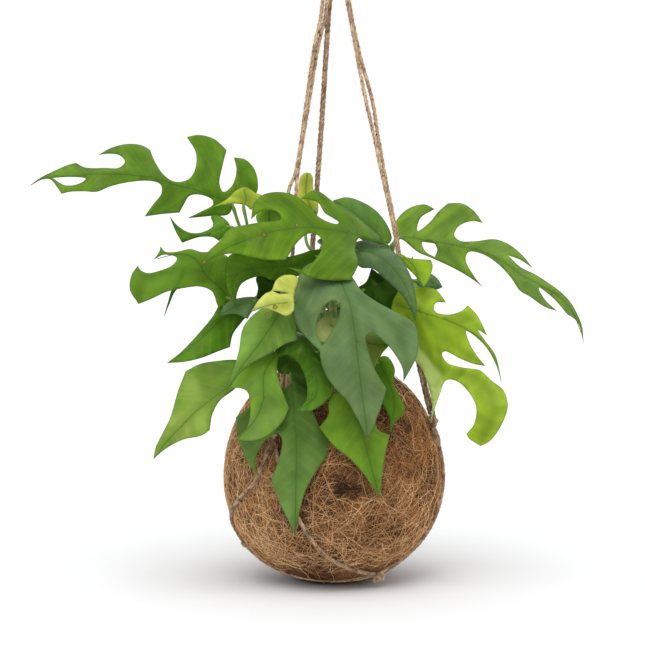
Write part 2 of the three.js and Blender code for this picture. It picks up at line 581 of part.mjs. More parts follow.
// The edge loops, the outer one counterclockwise and a hole clockwise.
function edgeLoops(leaf) {
  const loops = [leaf.outline, leaf.hole].filter(Boolean).map((text) => closedEdge(text, OUTLINE_STEP));
  return loops.map((loop, i) => {
    const rightWay = THREE.ShapeUtils.isClockWise(loop) === (i > 0);
    return rightWay ? loop : [...loop].reverse();
  });
}

// Rows of points INNER_STEP apart over a box, every other row half a step along, none quite in line.
function innerPoints(box) {
  const rowHeight = INNER_STEP * Math.sin(Math.PI / 3);
  const stir = 0.3;
  const found = [];
  for (let row = 0; box.min.y + row * rowHeight < box.max.y; row++) {
    const y = box.min.y + row * rowHeight;
    for (let x = box.min.x + (row % 2) * INNER_STEP * 0.5; x < box.max.x; x += INNER_STEP) {
      found.push(new THREE.Vector2(x + stir * Math.sin(row * 5 + x), y + stir * Math.cos(row * 3 + x)));
    }
  }
  return found;
}

// Triangles over the outline with rows of points inside it, so that the blade can bend.
function bladeTriangles(leaf) {
  const loops = edgeLoops(leaf);
  const points = loops.flat();
  const [outer, ...holes] = loops.map((loop) => [...loop]);
  const triangles = THREE.ShapeUtils.triangulateShape(outer, holes);
  makeRounder(points, triangles);
  for (const p of innerPoints(new THREE.Box2().setFromPoints(points))) {
    if (edgeDistance(p, loops) > INNER_MARGIN) insertPoint(points, triangles, p);
  }
  return { points, triangles };
}

// The blade: the same triangles on both faces, BLADE_THICKNESS apart, and a band round the edge.
function bladeGeometry(leaf) {
  const { points, triangles } = bladeTriangles(leaf);
  const depth = depthField(numbers(leaf.pins));
  const place = (x, y) => at(x, y, depth(x, y));
  const faces = [1, -1].map((side) => points.map(({ x, y }) => {
    const across = place(x + 1, y).sub(place(x - 1, y));
    const along = place(x, y - 1).sub(place(x, y + 1));
    const normal = across.cross(along).normalize();
    return place(x, y).addScaledVector(normal, (side * BLADE_THICKNESS) / 2);
  }));
  const n = points.length;
  const all = [];
  const inside = new Set(triangles.flatMap((t) => t.map((a, k) => `${a},${t[(k + 1) % 3]}`)));
  for (const t of triangles) {
    const [a, b, c] = t;
    all.push([a, c, b], [a + n, b + n, c + n]);
    t.forEach((p, k) => {
      const q = t[(k + 1) % 3];
      if (!inside.has(`${q},${p}`)) all.push([p, q, q + n], [p, q + n, p + n]);
    });
  }
  return indexedGeometry([...faces[0], ...faces[1]], all);
}

// The petiole runs on under the blade for a short way along the rib.
function petioleGeometry(leaf, route) {
  const rib = numbers(leaf.rib);
  const depth = depthField(numbers(leaf.pins));
  const reach = 0.45; // of the rib's first stretch
  const x = THREE.MathUtils.lerp(rib[0][0], rib[1][0], reach);
  const y = THREE.MathUtils.lerp(rib[0][1], rib[1][1], reach);
  const end = at(x, y, depth(x, y));
  return tube([...route, end], PETIOLE_RADIUS, PETIOLE_SIDES, route.length + 3);
}

// ---- the ball and what it holds ----
function ballRadius(z) {
  const height = z - BALL_MIDDLE_Z;
  const semiAxis = height > 0 ? BALL_TOP_SEMI_AXIS : BALL_RADIUS;
  return BALL_RADIUS * Math.sqrt(Math.max(0, 1 - (height / semiAxis) ** 2));
}

// Points of the ball's half section from the lowest to the highest, inset by a distance.
function ballSection(inset, lowRadius, highRadius) {
  const low = Math.asin(lowRadius / (BALL_RADIUS - inset));
  const high = Math.asin(highRadius / (BALL_RADIUS - inset));
  const section = [];
  for (let i = 0; i <= BALL_RINGS; i++) {
    const angle = THREE.MathUtils.lerp(low, Math.PI / 2, i / BALL_RINGS);
    section.push(new THREE.Vector2(
      (BALL_RADIUS - inset) * Math.sin(angle),
      BALL_MIDDLE_Z - (BALL_RADIUS - inset) * Math.cos(angle),
    ));
  }
  for (let i = 1; i <= BALL_RINGS; i++) {
    const angle = THREE.MathUtils.lerp(Math.PI / 2, high, i / BALL_RINGS);
    section.push(new THREE.Vector2(
      (BALL_RADIUS - inset) * Math.sin(angle),
      BALL_MIDDLE_Z + (BALL_TOP_SEMI_AXIS - inset) * Math.cos(angle),
    ));
  }
  return section;
}

function innerWall() {
  return ballSection(WALL, REST_SPOT_RADIUS, OPENING_RADIUS - 2);
}

function coirBall() {
  const outer = ballSection(0, REST_SPOT_RADIUS, OPENING_RADIUS);
  outer[0].y = 0; // the flat spot
  const inner = innerWall().reverse();
  const floor = new THREE.Vector2(0, WALL);
  return lathe([new THREE.Vector2(0, 0), ...outer, ...inner, floor], BALL_SIDES);
}

function soilCore() {
  const wall = innerWall().map((p) => new THREE.Vector2(
    p.x * SOIL_FIT, BALL_MIDDLE_Z + (p.y - BALL_MIDDLE_Z) * SOIL_FIT));
  const below = wall.filter((p) => p.y < SOIL_RIM_Z - 2);
  const top = [1, 0.6, 0.3].map((share) => new THREE.Vector2(
    SOIL_RADIUS * share, SOIL_RIM_Z + SOIL_DOME * (1 - share * share)));
  const start = new THREE.Vector2(0, WALL + GAP);
  return lathe([start, ...below, ...top, new THREE.Vector2(0, SOIL_RIM_Z + SOIL_DOME)], BALL_SIDES);
}

// ---- jute ----
function onBall(turn, z, lift) {
  const angle = THREE.MathUtils.degToRad(turn);
  const step = 0.5;
  const slope = (ballRadius(z + step) - ballRadius(z - step)) / (2 * step);
  const out = new THREE.Vector2(1, -slope).normalize();
  const radius = ballRadius(z) + lift * out.x;
  return new THREE.Vector3(radius * Math.sin(angle), -radius * Math.cos(angle), z + lift * out.y);
}

function shoulderKnotPlace(knot) {
  return onBall(knot.turn, knot.z, KNOT_RADIUS + 2 * GAP);
}

function cordStrand(name, side) {
  const { knot, apart, seats, route } = CORDS[name];
  const seat = THREE.MathUtils.degToRad(seats[side > 0 ? 1 : 0]);
  const points = numbers(route).map(([x, y, depth, half]) =>
    at(x, y, depth).addScaledVector(apart, side * half));
  const spread = 2 * STRAND_RADIUS + 2 * GAP;
  const top = new THREE.Vector3(
    TOP_KNOT.x + spread * Math.cos(seat), TOP_KNOT.y + spread * Math.sin(seat), TOP_KNOT.z - 2 * GAP);
  const centre = shoulderKnotPlace(knot);
  const last = points[points.length - 1];
  const end = centre.clone().add(last.clone().sub(centre).setLength(KNOT_RADIUS + GAP));
  end.addScaledVector(apart, side * (STRAND_RADIUS + GAP));
  return tube([top, ...points, end], STRAND_RADIUS, CORD_SIDES, CORD_STEPS);
}

function knotLump(centre, radius) {
  return new THREE.SphereGeometry(radius, ...KNOT_SIDES).translate(centre.x, centre.y, centre.z);
}

// A strand's line through stops of turn and z, laid on the ball all the way.
function laidLine(stops) {
  const flat = new THREE.CatmullRomCurve3(stops.map(([turn, z]) => new THREE.Vector3(turn, z, 0)));
  const laid = flat.getPoints(ROUTE_SAMPLES).map((p) => onBall(p.x, p.y, CRADLE_LIFT));
  return new THREE.CatmullRomCurve3(laid, false, "centripetal");
}

// The low knot's turn and z, with whole turns added until it is nearest to the angle before it.
function lowKnot(name, before) {
  const [turn, z] = LOW_KNOTS[name];
  return [turn + 360 * Math.round((before - turn) / 360), z];
}

// The strand along a line, from "start" mm after its beginning to "end" mm before its end.
function laidTube(line, start, end) {
  const length = line.getLength();
  const steps = Math.round(length / CRADLE_STEP);
  const points = [];
  for (let i = 0; i <= steps; i++) {
    points.push(line.getPointAt(THREE.MathUtils.lerp(start, length - end, i / steps) / length));
  }
  return tube(points, STRAND_RADIUS, CORD_SIDES, steps);
}

// A cradle strand between its shoulder knot and its low knot, clear of both.
function cradleTube({ from, to, way }) {
  const { turn, z } = CORDS[from].knot;
  const line = laidLine([[turn, z], ...way, lowKnot(to, way[way.length - 1][0])]);
  return laidTube(line, KNOT_RADIUS + 2, KNOT_RADIUS + 1);
}

// The strand under the ball with its three knots, which it runs into.
function lowRing() {
  const pieces = UNDER.map(({ from, to, way }) => {
    const stops = [lowKnot(from, way[0][0]), ...way, lowKnot(to, way[way.length - 1][0])];
    return toSolid(laidTube(laidLine(stops), 1, 1));
  });
  for (const [turn, z] of Object.values(LOW_KNOTS)) {
    pieces.push(toSolid(knotLump(onBall(turn, z, LOW_KNOT_RADIUS + GAP), LOW_KNOT_RADIUS)));
  }
  return toGeometry(wasm.Manifold.union(pieces));
}

// The wrapped knot that gathers the six strands, with the hanging loop over it.
function topKnot() {
  const { x, y, z, radius, height } = TOP_KNOT;
  const section = [[0, 0], [0.9, 0], [1, 0.35], [1, 0.65], [0.7, 1], [0, 1]];
  const profile = section.map(([r, h]) => new THREE.Vector2(r * radius, h * height));
  const knot = toSolid(lathe(profile, TOP_KNOT_SIDES).translate(x, y, z));
  const foot = z + height * 0.7;
  const half = [[LOOP.foot, 0], [LOOP.half_width, 0.45], [LOOP.half_width * 0.7, 0.85]];
  const arch = [...half.map(([dx, share]) => [-dx, share]), [0, 1], ...[...half].reverse()];
  const points = arch.map(([dx, share]) => new THREE.Vector3(x + dx, y, foot + share * LOOP.height));
  return toGeometry(knot.add(toSolid(tube(points, STRAND_RADIUS, CORD_SIDES, LOOP_STEPS))));
}

// ---- assembly ----
const plant = new THREE.Group();

function addPiece(name, geometry, colour, surface) {
  const finish = { color: COLOURS[colour], roughness: ROUGHNESS[surface], metalness: 0 };
  const material = new THREE.MeshStandardMaterial(finish);
  const mesh = new THREE.Mesh(geometry, material);
  mesh.name = name;
  plant.add(mesh);
}

// The same route, run on a little past its last point.
function longer(points) {
  const last = points[points.length - 1].clone();
  const ahead = last.clone().sub(points[points.length - 2]).setLength(1);
  return [...points.slice(0, -1), last.add(ahead)];
}

const stemPoints = Object.fromEntries(Object.entries(STEMS).map(([key, text]) => [key, places(text)]));
const stemRoom = Object.fromEntries(Object.entries(stemPoints).map(([key, points]) =>
  [key, toSolid(tube(longer(points), STEM_RADIUS + GAP, STEM_SIDES, STEM_STEPS))]));

addPiece("coir_ball", coirBall(), "coir", "fibre");
let soil = toSolid(soilCore());
for (const room of Object.values(stemRoom)) soil = soil.subtract(room);
addPiece("soil", toGeometry(soil), "soil", "soil");

for (const [key, points] of Object.entries(stemPoints)) {
  addPiece(`stem_${key}`, tube(points, STEM_RADIUS, STEM_SIDES, STEM_STEPS), "stem", "stem");
}

for (const leaf of FRONT_LEAVES) {
  const petiole = toSolid(petioleGeometry(leaf, places(leaf.petiole)));
  const whole = toSolid(bladeGeometry(leaf)).add(petiole).subtract(stemRoom[leaf.stem]);
  addPiece(leaf.name, toGeometry(whole), leaf.colour, "leaf");
}

const backStem = new THREE.CatmullRomCurve3(stemPoints.back, false, "centripetal");
for (const { name, form, turn, move, from } of BACK_LEAVES) {
  const leaf = FRONT_LEAVES.find((each) => each.name === form);
  const place = new THREE.Matrix4().makeRotationZ(THREE.MathUtils.degToRad(turn)).setPosition(...move);
  const base = places(leaf.petiole).pop().applyMatrix4(place);
  const start = backStem.getPointAt(from);
  const crown = start.clone().lerp(base, CROWN.share);
  crown.z = Math.max(start.z, base.z) + CROWN.rise;
  const home = place.clone().invert();
  const route = [start, crown, base].map((p) => p.clone().applyMatrix4(home));
  const petiole = toSolid(petioleGeometry(leaf, route).applyMatrix4(place));
  const blade = toSolid(bladeGeometry(leaf).applyMatrix4(place));
  addPiece(name, toGeometry(blade.add(petiole).subtract(stemRoom.back)), leaf.colour, "leaf");
}

for (const [name, { knot }] of Object.entries(CORDS)) {
  addPiece(`cord_${name}_a`, cordStrand(name, -1), "jute", "fibre");
  addPiece(`cord_${name}_b`, cordStrand(name, 1), "jute", "fibre");
  addPiece(`shoulder_knot_${name}`, knotLump(shoulderKnotPlace(knot), KNOT_RADIUS), "jute", "fibre");
}
for (const [name, strand] of Object.entries(CRADLE)) {
  addPiece(`cradle_strand_${name}`, cradleTube(strand), "jute", "fibre");
}
addPiece("cradle_ring", lowRing(), "jute", "fibre");
addPiece("top_knot", topKnot(), "jute", "fibre");

export default plant;
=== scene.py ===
"""A climbing house plant with split leaves in a coir ball that hangs on jute cords.

Metres, +Z up, front towards -Y, origin at the middle of the spot that the ball rests on. Every
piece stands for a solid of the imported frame, or lies on one.
"""
import logging
import math
from collections.abc import Callable
from dataclasses import dataclass, replace
from enum import Enum

import bpy
import numpy as np
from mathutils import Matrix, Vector, geometry, noise


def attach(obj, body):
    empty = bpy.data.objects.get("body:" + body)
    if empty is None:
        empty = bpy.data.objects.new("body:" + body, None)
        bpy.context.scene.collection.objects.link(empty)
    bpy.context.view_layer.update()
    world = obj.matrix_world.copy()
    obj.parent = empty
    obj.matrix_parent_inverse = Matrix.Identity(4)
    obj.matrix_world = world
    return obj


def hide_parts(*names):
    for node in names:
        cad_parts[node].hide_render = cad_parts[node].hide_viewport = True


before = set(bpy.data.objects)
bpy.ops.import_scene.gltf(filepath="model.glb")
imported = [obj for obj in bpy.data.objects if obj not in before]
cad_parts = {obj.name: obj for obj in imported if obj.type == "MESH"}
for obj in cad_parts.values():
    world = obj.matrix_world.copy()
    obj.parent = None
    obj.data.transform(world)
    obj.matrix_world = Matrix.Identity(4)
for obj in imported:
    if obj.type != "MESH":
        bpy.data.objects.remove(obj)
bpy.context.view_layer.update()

LOG = logging.getLogger("plant")
MM = 0.001
BODY = "root"
Array = np.ndarray


class Slot(Enum):
    """The record's material slots."""

    GREEN = "leaf_green"
    DEEP = "leaf_deep"
    BLUE = "leaf_blue"
    LIGHT = "leaf_light"
    YELLOW = "leaf_yellow"
    STEM = "stem"
    COIR = "coir"
    SOIL = "soil"
    JUTE = "jute"


# ---- the picture that the solids were placed by ----
@dataclass(frozen=True)
class Picture:
    """Sight lines through a 645 x 645 picture: from pixels and a depth in mm to metres."""

    centre: float = 322.5  # the middle pixel, both ways
    mm_per_pixel: float = 0.83  # size of a pixel on the picture plane
    eye_distance: float = 2000.0  # from the eye to the picture plane, mm
    aim_x: float = -8.7  # where the sight line through the middle crosses the plane, mm
    aim_z: float = 214.5  # its height there, mm
    elevation: float = 5.0  # how far the eye stands above the plane's middle, degrees

    @property
    def up(self) -> Array:
        """The picture's upward direction."""
        angle = math.radians(self.elevation)
        return np.array([0.0, math.sin(angle), math.cos(angle)])

    @property
    def forward(self) -> Array:
        """The direction of sight through the middle."""
        angle = math.radians(self.elevation)
        return np.array([0.0, math.cos(angle), -math.sin(angle)])

    @property
    def eye(self) -> Array:
        """The eye, mm."""
        return np.array([self.aim_x, 0.0, self.aim_z]) - self.forward * self.eye_distance

    def at(self, x: Array, y: Array, depth: Array) -> Array:
        """The points at pixels (x, y), depth mm behind the picture plane.

        Args:
            x: pixels to the right.
            y: pixels down.
            depth: mm behind the plane.

        Returns:
            One row of three metres for each point.
        """
        x, y, depth = np.broadcast_arrays(*(np.asarray(v, float) for v in (x, y, depth)))
        aim = np.array([self.aim_x, 0.0, self.aim_z])
        across = ((x - self.centre) * self.mm_per_pixel)[..., None] * np.array([1.0, 0.0, 0.0])
        rise = ((self.centre - y) * self.mm_per_pixel)[..., None] * self.up
        stretch = (1 + depth / self.eye_distance)[..., None]
        return ((aim + across + rise - self.eye) * stretch + self.eye) * MM

    def places(self, text: str) -> Array:
        """The points of a route written as x,y,depth words, metres."""
        rows = numbers(text)
        return self.at(rows[:, 0], rows[:, 1], rows[:, 2])


PICTURE = Picture()


# ---- curves ----
def numbers(text: str) -> Array:
    """The rows of numbers in a text of words such as 12,34! or 12,34,-5."""
    return np.array([[float(v) for v in word.rstrip("!").split(",")] for word in text.split()])


def spline(points: Array, per_span: int = 24, closed: bool = False) -> Array:
    """A centripetal curve through the points.

    Args:
        points: rows of coordinates.
        per_span: samples between two points.
        closed: whether it runs back to its first point.

    Returns:
        Rows of points on the curve, without the first one again when closed.
    """
    points = np.asarray(points, float)
    if closed:
        ring = np.vstack([points[-1:], points, points[:2]])
    else:
        ring = np.vstack([2 * points[:1] - points[1:2], points, 2 * points[-1:] - points[-2:-1]])
    gaps = np.maximum(np.linalg.norm(np.diff(ring, axis=0), axis=1) ** 0.5, 1e-9)
    out = []
    share = np.linspace(0, 1, per_span, endpoint=False)[:, None]
    for i in range(1, len(ring) - 2):
        p0, p1, p2, p3 = ring[i - 1 : i + 3]
        d0, d1, d2 = gaps[i - 1 : i + 2]
        m1 = ((p1 - p0) / d0 - (p2 - p0) / (d0 + d1) + (p2 - p1) / d1) * d1
        m2 = ((p2 - p1) / d1 - (p3 - p1) / (d1 + d2) + (p3 - p2) / d2) * d1
        cube, square = share**3, share**2
        out.append(
            (2 * cube - 3 * square + 1) * p1
            + (cube - 2 * square + share) * m1
            + (3 * square - 2 * cube) * p2
            + (cube - square) * m2
        )
    if not closed:
        out.append(points[-1:])
    return np.vstack(out)


def arc_lengths(points: Array) -> Array:
    """The way from the first point to each point along the line."""
    return np.concatenate([[0.0], np.cumsum(np.linalg.norm(np.diff(points, axis=0), axis=1))])


def resampled(points: Array, step: float, fewest: int = 2) -> Array:
    """Points at even steps along a line, both ends kept.

    Args:
        points: rows of coordinates.
        step: the way from one point to the next, about.
        fewest: how many steps there are at least.

    Returns:
        Rows of points on the line.
    """
    way = arc_lengths(points)
    count = max(fewest, int(round(way[-1] / step)))
    stops = np.linspace(0, way[-1], count + 1)
    return np.stack([np.interp(stops, way, points[:, k]) for k in range(points.shape[1])], axis=1)


def unit(vectors: Array) -> Array:
    """The vectors at length one."""
    return vectors / np.maximum(np.linalg.norm(vectors, axis=-1, keepdims=True), 1e-12)


def tangents(points: Array) -> Array:
    """The direction of each line at each of its points, for lines along the last axis but one."""
    return unit(np.gradient(points, axis=-2))


def carried_frame(points: Array) -> Array:
    """A direction across the line at each point that turns as little as it can.

    Args:
        points: rows of coordinates.

    Returns:
        Rows of unit vectors.
    """
    along = tangents(points)
    start = np.cross(along[0], [0.0, 0.0, 1.0])
    if np.linalg.norm(start) < 0.1:
        start = np.cross(along[0], [1.0, 0.0, 0.0])
    across = np.empty_like(points)
    across[0] = unit(start)
    for i in range(1, len(points)):
        across[i] = unit(across[i - 1] - along[i] * (across[i - 1] @ along[i]))
    return across


# ---- meshes ----
@dataclass
class Skin:
    """Vertices, faces and per-vertex values that build up one mesh."""

    points: list  # arrays of rows of metres
    faces: list  # arrays of rows of indices into all the points
    values: dict  # a list of arrays for each value that the mesh carries, by name
    count: int = 0  # how many points there are so far

    @classmethod
    def empty(cls, *names: str) -> "Skin":
        """A mesh with nothing in it yet, and the values that it will carry."""
        return cls([], [], {name: [] for name in names})

    def add(self, points: Array, faces: Array, **values: object) -> None:
        """Adds vertices and faces.

        Args:
            points: rows of metres.
            faces: rows of indices into points.
            values: a number or one number a vertex for each of the mesh's values.
        """
        self.points.append(points)
        self.faces.append(np.asarray(faces) + self.count)
        self.count += len(points)
        for name, rows in self.values.items():
            rows.append(np.broadcast_to(np.asarray(values.get(name, 0.0), float), (len(points),)))

    def sweep(self, lines: Array, radii: Array, sides: int, across: Array,
              **values: object) -> None:
        """Adds round strands with closed ends along lines of equally many points.

        Args:
            lines: metres, line by point by 3.
            radii: metres, line by point, or one number.
            sides: corners of the cross section.
            across: a direction roughly across each line at each point.
            values: one number a line and point, one a line, or one for all.
        """
        lines = lines[None] if lines.ndim == 2 else lines
        across = across[None] if across.ndim == 2 else across
        n, m, _ = lines.shape
        radii = np.broadcast_to(np.asarray(radii, float), (n, m))
        along = tangents(lines)
        u = unit(across - along * np.sum(across * along, axis=-1, keepdims=True))
        v = np.cross(along, u)
        angle = 2 * np.pi * np.arange(sides) / sides
        ring = (np.cos(angle)[None, None, :, None] * u[:, :, None, :]
                + np.sin(angle)[None, None, :, None] * v[:, :, None, :])
        body = lines[:, :, None, :] + ring * radii[:, :, None, None]
        points = body.reshape(-1, 3)
        base = (np.arange(n) * m * sides)[:, None, None]
        row = (np.arange(m - 1) * sides)[None, :, None]
        corner = np.arange(sides)[None, None, :]
        following = (corner + 1) % sides
        quads = np.stack([base + row + corner, base + row + following,
                          base + row + sides + following, base + row + sides + corner], axis=-1)
        spread = {}
        for name, value in values.items():
            value = np.asarray(value, float)
            value = value[:, None] if value.ndim == 1 and len(value) == n else value
            spread[name] = np.repeat(np.broadcast_to(value, (n, m)).reshape(-1), sides)
        self.add(points, quads.reshape(-1, 4), **spread)
        start = self.count - len(points)
        first = start + (np.arange(n) * m * sides)[:, None] + np.arange(sides)[::-1][None, :]
        final = start + (np.arange(n) * m * sides + (m - 1) * sides)[:, None] + np.arange(sides)[None]
        self.faces += [first, final]

    def rings(self, rows: list, shade: float) -> None:
        """Adds a closed skin over rings of equally many points, with a flat cap at each end.

        Args:
            rows: the rings one after another, mm.
            shade: its shade all over.
        """
        start, sides = self.count, len(rows[0])
        i = np.arange(len(rows) - 1)[:, None] * sides
        k = np.arange(sides)[None, :]
        quads = np.stack([i + k, i + (k + 1) % sides, i + sides + (k + 1) % sides, i + sides + k], axis=-1)
        self.add(np.vstack(rows) * MM, quads.reshape(-1, 4), shade=shade)
        last = start + (len(rows) - 1) * sides
        self.faces += [start + np.arange(sides)[::-1][None, :], last + np.arange(sides)[None, :]]

    def build(self, name: str, material: bpy.types.Material, smooth: bool = True,
              rides: bool = True) -> bpy.types.Object:
        """Makes the object, which rides on the plant's one body.

        Args:
            name: the piece's name.
            material: its finish.
            smooth: whether its faces are shaded as one curved surface.
            rides: False for what belongs to the stage.

        Returns:
            The new object.
        """
        points = np.vstack(self.points)
        mesh = bpy.data.meshes.new(name)
        loops = np.concatenate([np.asarray(f).reshape(-1) for f in self.faces])
        sizes = np.concatenate([np.full(len(f), np.asarray(f).shape[1]) for f in self.faces])
        mesh.vertices.add(len(points))
        mesh.vertices.foreach_set("co", points.reshape(-1))
        mesh.loops.add(len(loops))
        mesh.loops.foreach_set("vertex_index", loops.astype(np.int32))
        mesh.polygons.add(len(sizes))
        starts = np.concatenate([[0], np.cumsum(sizes)[:-1]]).astype(np.int32)
        mesh.polygons.foreach_set("loop_start", starts)
        mesh.polygons.foreach_set("use_smooth", np.full(len(sizes), smooth))
        for key, rows in self.values.items():
            layer = mesh.attributes.new(key, "FLOAT", "POINT")
            layer.data.foreach_set("value", np.concatenate(rows))
        mesh.update(calc_edges=True)
        mesh.validate()
        mesh.materials.append(material)
        piece = bpy.data.objects.new(name, mesh)
        bpy.context.scene.collection.objects.link(piece)
        if rides:
            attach(piece, BODY)
        return piece


# ---- finishes ----
# Settings of nodes: plain and multiplying mixes of colours, soft steps, and sums.
MIX = {"data_type": "RGBA"}
TINT = {"data_type": "RGBA", "blend_type": "MULTIPLY"}
STEP = {"interpolation_type": "SMOOTHSTEP"}
ADD, TIMES, TIMES_ADD = ({"operation": how} for how in ("ADD", "MULTIPLY", "MULTIPLY_ADD"))


def linear(colour: str) -> tuple:
    """A colour written as sRGB hex, as the linear numbers and alpha that shaders take."""
    shares = [int(colour[i : i + 2], 16) / 255 for i in (0, 2, 4)]
    return (*(s / 12.92 if s <= 0.04045 else ((s + 0.055) / 1.055) ** 2.4 for s in shares), 1.0)


def add_node(tree: bpy.types.NodeTree, kind: str, settings: dict | None = None,
             inputs: dict | tuple = (), output: int | str = 0) -> bpy.types.NodeSocket | None:
    """Adds a shader node with its settings and links.

    Args:
        tree: the material's node tree.
        kind: the node's type name after "ShaderNode".
        settings: the node's own properties.
        inputs: a value or another node's output for each input, in order or by name or number.
        output: the output that is wanted, by name or number.

    Returns:
        That output, to be linked on, or None for a node without outputs.
    """
    node = tree.nodes.new(f"ShaderNode{kind}")
    for key, value in (settings or {}).items():
        setattr(node, key, value)
    for key, value in (inputs if isinstance(inputs, dict) else dict(enumerate(inputs))).items():
        if isinstance(value, bpy.types.NodeSocket):
            tree.links.new(value, node.inputs[key])
        else:
            node.inputs[key].default_value = value
    return node.outputs[output] if len(node.outputs) else None


@dataclass(frozen=True)
class Finish:
    """What all the finishes share: one tree of nodes that ends in one surface shader."""

    def material(self, name: str) -> bpy.types.Material:
        """The finish as a material.

        Args:
            name: what the real material is.

        Returns:
            The new material.
        """
        material = bpy.data.materials.new(name)
        material.use_nodes = True
        tree = material.node_tree
        tree.nodes.clear()
        shader = add_node(tree, "BsdfPrincipled", None, self.surface(tree))
        add_node(tree, "OutputMaterial", None, {"Surface": shader})
        return material

    def surface(self, tree: bpy.types.NodeTree) -> dict:
        """Draws the finish.

        Args:
            tree: the material's nodes.

        Returns:
            The surface shader's inputs.
        """
        raise NotImplementedError


